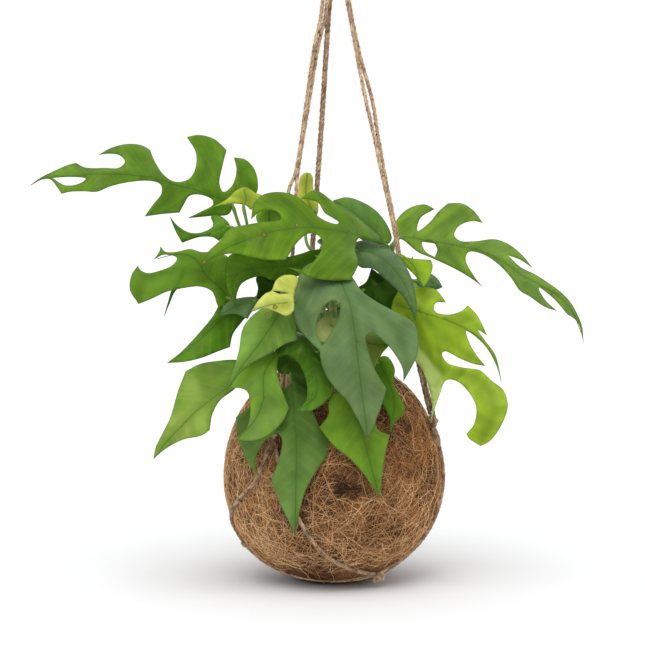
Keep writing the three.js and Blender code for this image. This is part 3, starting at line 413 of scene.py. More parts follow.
@dataclass(frozen=True)
class LeafFinish(Finish):
    """A living leaf's skin: wax over green tissue.

    It gives the eye a satin shine on softly clouded green, fresher streaks between the side veins,
    painted shade along the ribs, thin dark margins, a greyer underside, and brown dry spots where
    there are any.
    """

    base: str  # colour near the leaf's foot, sRGB hex
    tip: str  # colour at its far end
    heart: str = "6E9A1E"  # colour of the fresher streaks
    back: str = "7A8F60"  # colour that its underside tends to
    shine: float = 0.33  # roughness of the wax
    spots: tuple = ()  # places of the dry spots, metres, each with its radius

    # Painted shade along the ribs: the colour of the narrow creases and of the broad valleys beside them.
    CREASE = "2C5218"
    VEIN = "9DB462"
    MARGIN = "38541F"
    STALK = "6F8C40"
    SPOT_RIM = "5E3B1E"
    SPOT_HEART = "A98C62"
    WAX_IOR = 1.45
    WAX_STRENGTH = 0.22
    WAX_TINT = "F4FF86"
    VEIN_MM = 9.2
    VEIN_WANDER_MM = 4.0
    STREAK_MM = 10.0
    STREAK_RUN = (1.0, 0.16, 1.0)
    CLOUD_MM = 24.0
    BUMP_MM = 0.3
    # The skin's cells, drawn coarser than they are, because real ones are too fine to show.
    CELL_MM = 1.3
    # Soft steps: where each begins and ends, and its share at its beginning and at its end.
    CLOUDED = (0.3, 0.7, 0.72, 1.12)
    FRESH = (0.34, 0.70, 0.05, 0.9)
    FRESH_MM = (0.5, 9.0, 0.9, 0.4)
    # The next two paint shade along the ribs: faint and broad in the valleys beside them, darker and
    # narrow in the creases.
    VALE_SHADE_MM = (0.5, 8.0, 0.3, 0.0)
    CREASE_SHADE_MM = (0.1, 1.0, 0.55, 0.0)
    MARGIN_MM = (0.15, 0.8, 0.28, 0.0)
    SIDE_VEIN_MM = (0.1, 1.8, 0.045, 0.0)
    GREYED = (0.0, 1.0, 0.0, 0.6)
    # The same for a dry spot, in shares of its radius, and how ragged its edge is.
    SPOT_RIM_RUN = (1.1, 1.6, 0.75, 0.0)
    SPOT_HEART_RUN = (0.7, 1.1, 0.5, 0.0)
    SPOT_RAGGED = 0.9
    NO_SPOT = 9.0
    # Light that soaks in, so that a blade doesn't look like painted card.
    SOAK = 0.06
    SOAK_COLOURS = (0.5, 1.0, 0.2)
    SOAK_MM = 1.0

    def surface(self, tree: bpy.types.NodeTree) -> dict:
        """Draws the finish.

        Args:
            tree: the material's nodes.

        Returns:
            The surface shader's inputs.
        """
        rib, vein, edge, reach, under, stalk = (
            add_node(tree, "Attribute", {"attribute_name": key}, output="Fac")
            for key in ("rib_mm", "vein_mm", "edge_mm", "reach", "under", "stalk"))
        where = add_node(tree, "TexCoord", output="Object")
        cloud, cells = (
            add_node(tree, "TexNoise", None, {"Vector": where, "Scale": 1 / (size * MM), "Detail": 3.0})
            for size in (self.CLOUD_MM, self.CELL_MM))
        drawn = add_node(tree, "CombineXYZ", None, (vein, rib, reach))
        drawn = add_node(tree, "Mapping", None, {"Vector": drawn, "Scale": self.STREAK_RUN})
        streak = add_node(tree, "TexNoise", None,
                          {"Vector": drawn, "Scale": 1 / self.STREAK_MM, "Detail": 4.0})
        skin = add_node(tree, "Mix", MIX, {0: reach, 6: linear(self.base), 7: linear(self.tip)}, 2)
        light = add_node(tree, "MapRange", STEP, (cloud, *self.CLOUDED))
        grey = add_node(tree, "CombineColor", None, (light, light, light))
        skin = add_node(tree, "Mix", TINT, {0: 1.0, 6: skin, 7: grey}, 2)
        fresh, outer, vale_shade, crease, margin, grey_side = (
            add_node(tree, "MapRange", STEP, (value, *step)) for value, step in (
                (streak, self.FRESH), (edge, self.FRESH_MM), (rib, self.VALE_SHADE_MM),
                (rib, self.CREASE_SHADE_MM), (edge, self.MARGIN_MM), (under, self.GREYED)))
        fresh = add_node(tree, "Math", TIMES, (fresh, outer))
        side_vein = add_node(tree, "Math", TIMES_ADD, (cloud, self.VEIN_WANDER_MM, vein))
        side_vein = add_node(tree, "Math", {"operation": "PINGPONG"}, (side_vein, self.VEIN_MM / 2))
        side_vein = add_node(tree, "MapRange", STEP, (side_vein, *self.SIDE_VEIN_MM))
        # The vale and crease layers are painted shade along the ribs, in the crease colour.
        layers = [(fresh, self.heart), (side_vein, self.VEIN), (vale_shade, self.CREASE),
                  (crease, self.CREASE), (margin, self.MARGIN), (grey_side, self.back),
                  (stalk, self.STALK)]
        nearest = self.NO_SPOT
        for *place, radius in self.spots:
            gap = add_node(tree, "VectorMath", {"operation": "DISTANCE"}, (where, place), "Value")
            gap = add_node(tree, "Math", TIMES, (gap, 1 / radius))
            nearest = add_node(tree, "Math", {"operation": "MINIMUM"}, (gap, nearest))
        if self.spots:
            ragged = add_node(tree, "Math", TIMES_ADD, (cells, self.SPOT_RAGGED, nearest))
            layers += [(add_node(tree, "MapRange", STEP, (ragged, *step)), colour)
                       for step, colour in ((self.SPOT_RIM_RUN, self.SPOT_RIM),
                                            (self.SPOT_HEART_RUN, self.SPOT_HEART))]
        for share, colour in layers:
            skin = add_node(tree, "Mix", MIX, {0: share, 6: skin, 7: linear(colour)}, 2)
        height = add_node(tree, "Math", TIMES_ADD, (streak, 1.2, cells))
        bump = add_node(tree, "Bump", None,
                        {"Strength": 0.35, "Distance": self.BUMP_MM * MM, "Height": height})
        dull = add_node(tree, "Math", TIMES_ADD, (under, 0.2, self.shine - 0.08))
        dull = add_node(tree, "Math", TIMES_ADD, (cloud, 0.16, dull))
        return {"Base Color": skin, "Roughness": dull, "Normal": bump, "IOR": self.WAX_IOR,
                "Specular IOR Level": self.WAX_STRENGTH, "Specular Tint": linear(self.WAX_TINT),
                "Subsurface Weight": self.SOAK, "Subsurface Radius": self.SOAK_COLOURS,
                "Subsurface Scale": self.SOAK_MM * MM}


@dataclass(frozen=True)
class StemFinish(Finish):
    """A green vine stem: a smooth rind with long pale streaks and brownish rings at its joints."""

    SHADE = "4E6A2A"
    RIND = "64803A"
    RING = "8A7A48"
    STREAK_MM = 3.0
    STREAK_RUN = (1.0, 1.0, 0.2)
    BUMP_MM = 0.3

    def surface(self, tree: bpy.types.NodeTree) -> dict:
        """Draws the finish.

        Args:
            tree: the material's nodes.

        Returns:
            The surface shader's inputs.
        """
        ring = add_node(tree, "Attribute", {"attribute_name": "ring"}, output="Fac")
        where = add_node(tree, "TexCoord", output="Object")
        where = add_node(tree, "Mapping", None, {"Vector": where, "Scale": self.STREAK_RUN})
        streak = add_node(tree, "TexNoise", None,
                          {"Vector": where, "Scale": 1 / (self.STREAK_MM * MM), "Detail": 3.0})
        skin = add_node(tree, "Mix", MIX, {0: streak, 6: linear(self.SHADE), 7: linear(self.RIND)}, 2)
        skin = add_node(tree, "Mix", MIX, {0: ring, 6: skin, 7: linear(self.RING)}, 2)
        bump = add_node(tree, "Bump", None,
                        {"Strength": 0.3, "Distance": self.BUMP_MM * MM, "Height": streak})
        return {"Base Color": skin, "Roughness": 0.5, "Normal": bump, "IOR": 1.45,
                "Specular IOR Level": 0.3}


@dataclass(frozen=True)
class FibreFinish(Finish):
    """Matt plant fibre, whose strands run from dark to straw by the mesh's own shade."""

    dark: str  # colour at shade 0, sRGB hex
    middle: str  # colour at shade one half
    straw: str  # colour at shade 1
    fine_mm: float  # size of the finest mottling
    patch_mm: float  # size of the broad lighter and darker patches
    patchy: float  # how much the patches change the shade
    sheen: float = 0.0  # strength of the loose fuzz's glow

    FINE_SWING = 0.14
    MOTTLED = (0.28, 0.72)
    MIDDLE = 0.5
    STRAW_FROM = 1.05
    BUMP_MM = 0.4

    def surface(self, tree: bpy.types.NodeTree) -> dict:
        """Draws the finish.

        Args:
            tree: the material's nodes.

        Returns:
            The surface shader's inputs.
        """
        shade = add_node(tree, "Attribute", {"attribute_name": "shade"}, output="Fac")
        where = add_node(tree, "TexCoord", output="Object")
        fine, patch = (
            add_node(tree, "TexNoise", None, {"Vector": where, "Scale": 1 / (size * MM), "Detail": 4.0})
            for size in (self.fine_mm, self.patch_mm))
        for value, swing in ((fine, self.FINE_SWING), (patch, self.patchy)):
            more = add_node(tree, "MapRange", STEP,
                            (value, *self.MOTTLED, -swing, swing))
            shade = add_node(tree, "Math", ADD, (shade, more))
        low = add_node(tree, "MapRange", STEP, (shade, 0.0, self.MIDDLE))
        high = add_node(tree, "MapRange", STEP, (shade, self.MIDDLE, self.STRAW_FROM))
        colour = add_node(tree, "Mix", MIX, {0: low, 6: linear(self.dark), 7: linear(self.middle)}, 2)
        colour = add_node(tree, "Mix", MIX, {0: high, 6: colour, 7: linear(self.straw)}, 2)
        bump = add_node(tree, "Bump", None,
                        {"Strength": 0.8, "Distance": self.BUMP_MM * MM, "Height": fine})
        return {"Base Color": colour, "Roughness": 0.85, "Normal": bump, "IOR": 1.5,
                "Specular IOR Level": 0.25, "Sheen Weight": self.sheen, "Sheen Roughness": 0.5}


@dataclass(frozen=True)
class SoilFinish(Finish):
    """Damp potting mix of coir chips and bark: dark crumbs with a few lighter chips."""

    DAMP = "22160E"
    CRUMB = "4B3423"
    CHIP = "8A6238"
    GRAIN_MM = 1.5
    GRAINED = (0.3, 0.7)
    BUMP_MM = 0.8

    def surface(self, tree: bpy.types.NodeTree) -> dict:
        """Draws the finish.

        Args:
            tree: the material's nodes.

        Returns:
            The surface shader's inputs.
        """
        shade = add_node(tree, "Attribute", {"attribute_name": "shade"}, output="Fac")
        where = add_node(tree, "TexCoord", output="Object")
        grain = add_node(tree, "TexNoise", None,
                         {"Vector": where, "Scale": 1 / (self.GRAIN_MM * MM), "Detail": 5.0})
        share = add_node(tree, "MapRange", STEP, (grain, *self.GRAINED))
        colour = add_node(tree, "Mix", MIX, {0: share, 6: linear(self.DAMP), 7: linear(self.CRUMB)}, 2)
        colour = add_node(tree, "Mix", MIX, {0: shade, 6: colour, 7: linear(self.CHIP)}, 2)
        bump = add_node(tree, "Bump", None,
                        {"Strength": 0.9, "Distance": self.BUMP_MM * MM, "Height": grain})
        return {"Base Color": colour, "Roughness": 0.9, "Normal": bump, "IOR": 1.45,
                "Specular IOR Level": 0.3}


@dataclass(frozen=True)
class PaperFinish(Finish):
    """Matt studio paper: nothing but soft shadow shows on it."""

    grey: float  # how much of the light it gives back, so that the lit paper looks as white as the room

    # The paper's faint blue, as shares of the grey.
    COOL = (0.985, 0.992, 1.0)

    def surface(self, tree: bpy.types.NodeTree) -> dict:
        """Draws the finish.

        Args:
            tree: the material's nodes.

        Returns:
            The surface shader's inputs.
        """
        return {"Base Color": (*(self.grey * share for share in self.COOL), 1.0), "Roughness": 1.0,
                "Specular IOR Level": 0.0}


# ---- the stage ----
@dataclass(frozen=True)
class Studio:
    """The camera, the lights and the paper that the plant stands on, metres."""

    sensor_mm: float = 36.0  # width of the camera's sensor
    sight: float = 60.0  # how far the camera sees
    paper_radius: float = 14.0  # of the sheet
    paper_drop: float = 0.0005  # how far it lies under the resting spot
    paper_sides: int = 64  # corners of the sheet
    sun: float = 1.5  # strength of the soft key light, watts a square metre
    sun_width: float = 44.0  # how wide its disc is seen, degrees
    sun_place: tuple = (-0.06, -0.6, 1.2)  # the direction that it shines from
    room: float = 1.0  # brightness of the white room all round
    paper_white: float = 1.1  # brightness of the lit paper beside the room's

    def camera(self) -> None:
        """Sets the camera on the picture's own eye."""
        data = bpy.data.cameras.new("camera")
        data.sensor_width = self.sensor_mm
        width = 2 * PICTURE.centre * PICTURE.mm_per_pixel
        data.lens = self.sensor_mm * PICTURE.eye_distance / width
        data.clip_end = self.sight
        camera = bpy.data.objects.new("camera", data)
        camera.location = PICTURE.eye * MM
        camera.rotation_euler = (math.radians(90 - PICTURE.elevation), 0.0, 0.0)
        bpy.context.scene.collection.objects.link(camera)
        bpy.context.scene.camera = camera

    def light(self) -> None:
        """Plain soft light: a bright room, and a wide key light from the upper left."""
        world = bpy.data.worlds.new("room")
        world.use_nodes = True
        world.node_tree.nodes.clear()
        glow = add_node(world.node_tree, "Background", None,
                        {"Color": linear("FFFFFF"), "Strength": self.room})
        add_node(world.node_tree, "OutputWorld", None, {"Surface": glow})
        bpy.context.scene.world = world
        bpy.context.scene.view_settings.view_transform = "Standard"
        data = bpy.data.lights.new("key_light", "SUN")
        data.energy = self.sun
        data.angle = math.radians(self.sun_width)
        lamp = bpy.data.objects.new("key_light", data)
        lamp.location = self.sun_place
        lamp.rotation_euler = Vector(self.sun_place).to_track_quat("Z", "Y").to_euler()
        bpy.context.scene.collection.objects.link(lamp)

    def floor(self) -> None:
        """A wide sheet of paper under the plant, set apart from it as part of the stage."""
        sides = self.paper_sides
        angle = np.linspace(0, 2 * np.pi, sides, endpoint=False)
        rim = np.stack([self.paper_radius * np.cos(angle), self.paper_radius * np.sin(angle),
                        np.full(sides, -self.paper_drop)], axis=1)
        skin = Skin.empty()
        skin.add(rim, np.arange(sides)[None, :])
        slope = self.sun_place[2] / math.hypot(*self.sun_place)
        grey = self.paper_white / (self.room + self.sun * slope / math.pi)
        paper = skin.build("paper", PaperFinish(grey).material("matt_studio_paper"), rides=False)


# ---- jute ----
@dataclass(frozen=True)
class Twine:
    """Twisted jute twine: plies wound round each other, each of a few loose yarns, with hairs, mm."""

    radius: float = 1.75  # over all
    plies: int = 3  # how many are twisted together
    ply_radius: float = 1.0  # of one ply
    lay: float = 14.0  # length for one whole turn of a ply
    yarns: int = 4  # how many make a ply
    yarn_radius: float = 0.5  # of one yarn
    yarn_lay: float = 9.0  # length for one whole turn of a yarn round its ply
    hair_radius: float = 0.07  # of a loose hair at its root
    end_shade_length: float = 70.0  # the stretch above its end that its painted shade darkens
    step: float = 0.9  # from one cross section to the next
    sides: int = 5  # corners of a yarn's cross section
    drift: float = 0.4  # how unevenly it is twisted, in turns
    swell: float = 0.3  # how much its plies grow thick and thin, as a share
    flecks: float = 3.0  # how dark the bits of bark in it are
    bare: float = 0.44  # how much of the noise leaves no fleck
    yarn_tones: float = 0.1  # steps of shade between the yarns of a ply
    tones: float = 0.35  # how much the shade comes and goes along it

    # How long each kind of unevenness is, and how far apart the plies' flecks are drawn.
    DRIFT_MM = 11
    SWELL_MM = 4
    TONE_MM = 6.5
    FLECK_MM = 2.3
    PLIES_APART = 5.3
    # Hairs: their lean along the line, their lengths, bends, roots and tips as shares, and shades.
    # They are drawn coarser than real ones, which are too fine to show.
    HAIR_LEANS = (0.4, 3.0)
    HAIR_LENGTHS = (0.3, 1.0)
    HAIR_BEND = 0.7
    HAIR_ROOT = 0.8
    HAIR_TIP = 0.4
    HAIR_SHADES = (0.4, 0.9)
    HAIR_STOPS = 4
    FEWEST_HAIRS = 3

    def wound(self, skin: Skin, line: Array, start: float = 0.0, light: float = 0.5,
              end_shade: float = 0.0) -> None:
        """Adds the twine that follows a line.

        Args:
            skin: the mesh that it goes into.
            line: metres.
            start: where its first turn stands, radians.
            light: its yarns' middle shade, from 0, dark, to 1, straw.
            end_shade: how much darker its end is.
        """
        line = resampled(line, self.step * MM)
        along = tangents(line)
        u = carried_frame(line)
        v = np.cross(along, u)
        way = arc_lengths(line) / MM
        drift, thick, tone = (
            np.array([noise.noise(Vector((w / size, start, size))) for w in way])
            for size in (self.DRIFT_MM, self.SWELL_MM, self.TONE_MM))
        turn = 2 * np.pi * (way / self.lay + self.drift * drift) + start
        # Painted shade: the yarns grow darker over the last stretch towards the cord's lower end.
        light = light - end_shade * np.clip(1 - (way[-1] - way) / self.end_shade_length, 0, 1) ** 0.7
        for ply in range(self.plies):
            fleck = np.array([noise.noise(Vector((w / self.FLECK_MM, start, self.PLIES_APART * ply)))
                              for w in way])
            dark = self.flecks * np.clip(fleck - self.bare, 0, 1)
            angle = (turn + 2 * np.pi * ply / self.plies)[:, None]
            out = np.cos(angle) * u + np.sin(angle) * v
            side = np.cross(along, out)
            swell = (1 + self.swell * thick * (1 - ply))[:, None]
            for yarn in range(self.yarns):
                spin = (2 * np.pi * (yarn / self.yarns - way / self.yarn_lay))[:, None]
                ring = np.cos(spin) * out + np.sin(spin) * side
                offset = ((self.radius - self.ply_radius) * out
                          + (self.ply_radius - self.yarn_radius) * swell * ring)
                place = (2 * yarn + ply) % self.yarns - (self.yarns - 1) / 2
                shade = light + self.yarn_tones * place + self.tones * tone - dark
                skin.sweep(line + offset * MM, self.yarn_radius * MM * swell.T, self.sides, out,
                           shade=shade[None, :])

    def hairs(self, skin: Skin, line: Array, per_mm: float, seed: int, length: float = 3.4) -> None:
        """Adds loose hairs along a line.

        Args:
            skin: the mesh that they go into.
            line: metres.
            per_mm: how many a millimetre.
            seed: starts the random draws.
            length: the longest, mm.
        """
        draw = np.random.default_rng(seed)
        way = arc_lengths(line)
        count = max(self.FEWEST_HAIRS, int(way[-1] / MM * per_mm))
        stops = draw.uniform(0.02, 0.98, count) * way[-1]
        root = np.stack([np.interp(stops, way, line[:, k]) for k in range(3)], axis=1)
        ahead = np.stack([np.interp(stops, way, tangents(line)[:, k]) for k in range(3)], axis=1)
        out = unit(np.cross(unit(ahead), unit(draw.normal(size=(count, 3)))))
        lean = unit(out + unit(ahead) * draw.uniform(*self.HAIR_LEANS, (count, 1))
                    * draw.choice([-1.0, 1.0], (count, 1)))
        curl = unit(np.cross(lean, unit(ahead)))
        long = (draw.uniform(*self.HAIR_LENGTHS, count) ** 1.5)[:, None, None] * length * MM
        share = np.linspace(0, 1, self.HAIR_STOPS)[None, :, None]
        bend = draw.uniform(-self.HAIR_BEND, self.HAIR_BEND, (count, 1, 1))
        lines = (root[:, None] + out[:, None] * self.radius * self.HAIR_ROOT * MM
                 + lean[:, None] * long * share + curl[:, None] * long * bend * share**2)
        thin = np.linspace(self.hair_radius, self.HAIR_TIP * self.hair_radius, self.HAIR_STOPS)
        across = np.repeat(out[:, None], self.HAIR_STOPS, axis=1)
        skin.sweep(lines, thin[None, :] * MM * np.ones((count, 1)), 3, across,
                   shade=draw.uniform(*self.HAIR_SHADES, count))


TWINE = Twine()
# A direction that is nearly up, yet never quite the way that a knot faces.
NEARLY_UP = [0.02, 0.03, 1.0]


def overhand(centre: Array, size: float, facing: Array, tilt: float = 0.0) -> Array:
    """The closed line of a tightened overhand knot.

    Args:
        centre: metres.
        size: mm from the middle to the line's furthest point.
        facing: the direction that its face looks.
        tilt: its turn about that direction, radians.

    Returns:
        Rows of metres.
    """
    stops = 90
    t = np.linspace(0, 2 * np.pi, stops)
    # The three-lobed line of a trefoil, which an overhand knot is once its ends meet.
    flat = np.stack([np.sin(t) + 2 * np.sin(2 * t), np.cos(t) - 2 * np.cos(2 * t), -1.25 * np.sin(3 * t)])
    facing = unit(np.asarray(facing, float))
    side = unit(np.cross(facing, NEARLY_UP))
    rise = np.cross(side, facing)
    u = math.cos(tilt) * side + math.sin(tilt) * rise
    v = math.cos(tilt) * rise - math.sin(tilt) * side
    scale = size * MM / 3
    return centre + scale * (flat[0][:, None] * u + flat[1][:, None] * v + flat[2][:, None] * facing)


# ---- the coir ball ----
@dataclass(frozen=True)
class Ball:
    """The coir ball: two half ellipsoids on a flat spot, with an open top, mm."""

    radius: float = 90.0  # at its widest
    middle: float = 85.5  # height of the widest place
    top_axis: float = 101.7  # half height of the upper half
    spot: float = 28.0  # radius of the flat spot
    opening: float = 42.0  # radius of the open top
    plain_below: float = 3.0  # height up to which the wall has no dents
    sunk: float = 0.5  # how far the wall stands in under the fibres
    arc_stops: int = 34  # rings on each half of the outside
    sides: int = 168  # corners of a ring
    matting: float = 1.1  # how far the top fibres lie above the ball's skin
    fibre_sets: int = 4  # how many sets of fibres there are, each over the one before
    fibres_each: int = 2750  # fibres in a set
    fibre_stops: int = 12  # points along a fibre
    rise: float = 0.4  # how far a fibre loops up and down as it runs

    # The rim and the inside of the wall: mm outwards and upwards from the opening's edge.
    LIP = ((-3.5, 0.8), (-7.5, -2), (-3.0, -9), (4.0, -17), (9.5, -27))
    # Dents in the wall: their size and depth, mm.
    DENTS = ((6.0, 0.9), (2.2, 0.5))
    # The wall is painted dark, as the shade in the gaps between the fibres.
    WALL_SHADE = 0.12
    # The fibres' random draws: lengths and half widths, each with its limits, mm, how much a fibre
    #     curls and swings, radians a step, and shades from the lowest set up, the lower sets painted
    #     darker as painted shade deep in the mat. Real coir is too fine to show one fibre from the
    #     next, so it is drawn coarser.
    SEED = 300
    LENGTH_DRAW = (3.0, 9.0)
    LENGTHS = (8, 70)
    WIDTH_DRAW = (1.6, 0.038)
    WIDTHS = (0.10, 0.36)
    CURL = 0.07
    SWING = 0.10
    LOWEST_SHADE = 0.2
    DEPTH_SHADE_RISE = 0.52
    SHADE_SPREAD = 0.3
    # Damp dark stains, a darker patch at the right, and painted light on the left and at the bottom
    #     where the share is over one: x,y,depth, their reach in mm, and the share of the shade that is
    #         left.
    STAINS_AND_LIT_PATCHES = (("341,488,-76", 8.0, 0.0), ("353,491,-75", 8.0, 0.0), ("366,491,-73", 4.5, 0.1),
              ("301,521,-72", 5.0, 0.3), ("412,440,-52", 40.0, 0.7), ("240,490,-40", 60.0, 1.35),
              ("310,565,-45", 55.0, 1.35))

    def radius_at(self, z: float) -> float:
        """The ball's radius at a height.

        Args:
            z: the height, mm.

        Returns:
            The radius there, mm.
        """
        height = z - self.middle
        axis = self.top_axis if height > 0 else self.radius
        return self.radius * math.sqrt(max(0.0, 1 - (height / axis) ** 2))

    def on(self, turn: float, z: float, lift: float) -> Array:
        """A point on the ball or off it.

        Args:
            turn: degrees from the front, towards the right.
            z: height of the place on the ball, mm.
            lift: how far off the ball, mm.

        Returns:
            Metres.
        """
        angle = math.radians(turn)
        slope = self.radius_at(z + 0.5) - self.radius_at(z - 0.5)
        out = unit(np.array([1.0, -slope]))
        radius = self.radius_at(z) + lift * out[0]
        return np.array([radius * math.sin(angle), -radius * math.cos(angle), z + lift * out[1]]) * MM

    def outward(self, turn: float, z: float) -> Array:
        """The direction straight off the ball there."""
        return unit(self.on(turn, z, 1.0) - self.on(turn, z, 0.0))

    def laid(self, points: Array, lift: Array) -> Array:
        """Points brought onto the ball's skin and lifted off it.

        Args:
            points: rows of mm.
            lift: mm, one number a point.

        Returns:
            Rows of mm.
        """
        low = points - np.array([0.0, 0.0, self.middle])
        axis = np.where(low[..., 2] > 0, self.top_axis, self.radius)
        size = np.sqrt((low[..., 0] ** 2 + low[..., 1] ** 2) / self.radius**2 + (low[..., 2] / axis) ** 2)
        skin = low / size[..., None]
        out = unit(skin / np.stack([np.full_like(axis, self.radius), np.full_like(axis, self.radius),
                                    axis], axis=-1) ** 2)
        skin = skin + out * lift[..., None]
        skin[..., 2] += self.middle
        skin[..., 2] = np.clip(skin[..., 2], 0.35, self.rim_height + 1.2)
        return skin

    @property
    def rim_height(self) -> float:
        """Height of the opening's edge."""
        return self.middle + self.top_axis * math.sqrt(1 - (self.opening / self.radius) ** 2)

    def husk(self) -> None:
        """The matted wall under the fibres: its outside, the rim and the inside."""
        low = math.asin(self.spot / self.radius)
        high = math.asin(self.opening / self.radius)
        lower = [(self.radius * math.sin(a), self.middle - self.radius * math.cos(a))
                 for a in np.linspace(low, math.pi / 2, self.arc_stops)]
        upper = [(self.radius * math.sin(a), self.middle + self.top_axis * math.cos(a))
                 for a in np.linspace(math.pi / 2, high, self.arc_stops)[1:]]
        inner = [(self.opening + out, self.rim_height + up) for out, up in self.LIP]
        floor = [(0.5, 0.0), (self.spot * 0.5, 0.0), (self.spot - 1.5, 0.0)]
        profile = np.array(floor + lower + upper + inner)
        angle = 2 * np.pi * np.arange(self.sides) / self.sides
        rows = []
        for r, z in profile:
            ring = np.stack([r * np.sin(angle), -r * np.cos(angle), np.full(self.sides, z)], axis=1)
            if z > self.plain_below:
                dents = np.array([sum(noise.noise(Vector(p) / size) * deep for size, deep in self.DENTS)
                                  for p in ring])
                ring = ring * (1 + (dents - self.sunk) / np.linalg.norm(ring, axis=1))[:, None]
            rows.append(ring)
        skin = Skin.empty("shade")
        skin.rings(rows, self.WALL_SHADE)
        husk = skin.build("coir_husk", COIR)
        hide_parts("coir_ball")

    def fibres(self, index: int) -> None:
        """One set of long coir fibres that wander over the ball's skin.

        Args:
            index: which set, 0 for the lowest.
        """
        draw = np.random.default_rng(self.SEED + index)
        count, stops = self.fibres_each, self.fibre_stops
        z = draw.uniform(1.0, self.rim_height, count)
        turn = draw.uniform(0, 2 * np.pi, count)
        place = np.stack([self.radius * np.sin(turn), -self.radius * np.cos(turn), z], axis=1)
        length = draw.gamma(*self.LENGTH_DRAW, count).clip(*self.LENGTHS)
        heading = unit(np.cross(unit(place - [0, 0, self.middle]), draw.normal(size=(count, 3))))
        layer = (index + draw.uniform(0, 1, count)) / self.fibre_sets
        lift = 0.05 + self.matting * layer + draw.uniform(-0.15, 0.15, count)
        point = self.laid(place, lift)
        curl = draw.normal(0, self.CURL, count)
        lines = [point]
        for i in range(stops - 1):
            out = unit(point - [0, 0, self.middle])
            swing = curl + draw.normal(0, self.SWING, count)
            heading = unit(heading + np.cross(out, heading) * swing[:, None])
            heading = unit(heading - out * np.sum(out * heading, axis=1, keepdims=True))
            bump = self.rise * np.sin(i * 1.7 + turn * 9)
            point = self.laid(point + heading * (length / stops)[:, None], lift + bump)
            lines.append(point)
        lines = np.stack(lines, axis=1)
        out = unit(lines - [0, 0, self.middle])
        width = (self.WIDTHS[0] + draw.gamma(*self.WIDTH_DRAW, count)).clip(*self.WIDTHS)[:, None]
        taper = np.sin(np.linspace(0.25, np.pi - 0.25, stops))[None, :] ** 0.5
        # Lower sets are painted darker: painted shade deep in the mat.
        shade = self.LOWEST_SHADE + self.DEPTH_SHADE_RISE * layer + draw.normal(0, self.SHADE_SPREAD, count)
        shade = np.repeat(shade[:, None], stops, axis=1)
        # Stains darken the fibres; where the share is over one, the patch is painted light.
        for text, reach, share in self.STAINS_AND_LIT_PATCHES:
            patch_centre = PICTURE.places(text)[0] / MM
            away = np.linalg.norm(lines - patch_centre, axis=2) + draw.normal(0, 1.2, (count, 1))
            shade = shade * (1 + (share - 1) * np.clip(3 - 3 * away / reach, 0, 1))
        skin = Skin.empty("shade")
        skin.sweep(lines * MM, width * taper * MM, 3, out, shade=shade.clip(0.0, 1.0))
        skin.build(f"coir_fibres_{index + 1}", COIR)

    def build(self) -> None:
        """The whole ball."""
        self.husk()
        for index in range(self.fibre_sets):
            self.fibres(index)
        LOG.info("coir ball with %d fibres", self.fibre_sets * self.fibres_each)


BALL = Ball()


# ---- the jute hanger ----
@dataclass(frozen=True)
class Rope:
    """One of the three doubled cords."""

    turn: float  # where its shoulder knot sits round the ball, degrees
    height: float  # of the knot, mm
    apart: tuple  # the direction from one strand to the other, where they aren't turned
    seats: tuple  # where the two strands enter the top knot, degrees round it
    # Rows of x,y,depth, half the distance between the strands, mm, and how far they are turned
    # about each other, degrees.
    route: str
    end_shade: float = 0.0  # how much painted shade darkens its lower end
    light: float = 0.68  # its yarns' middle shade


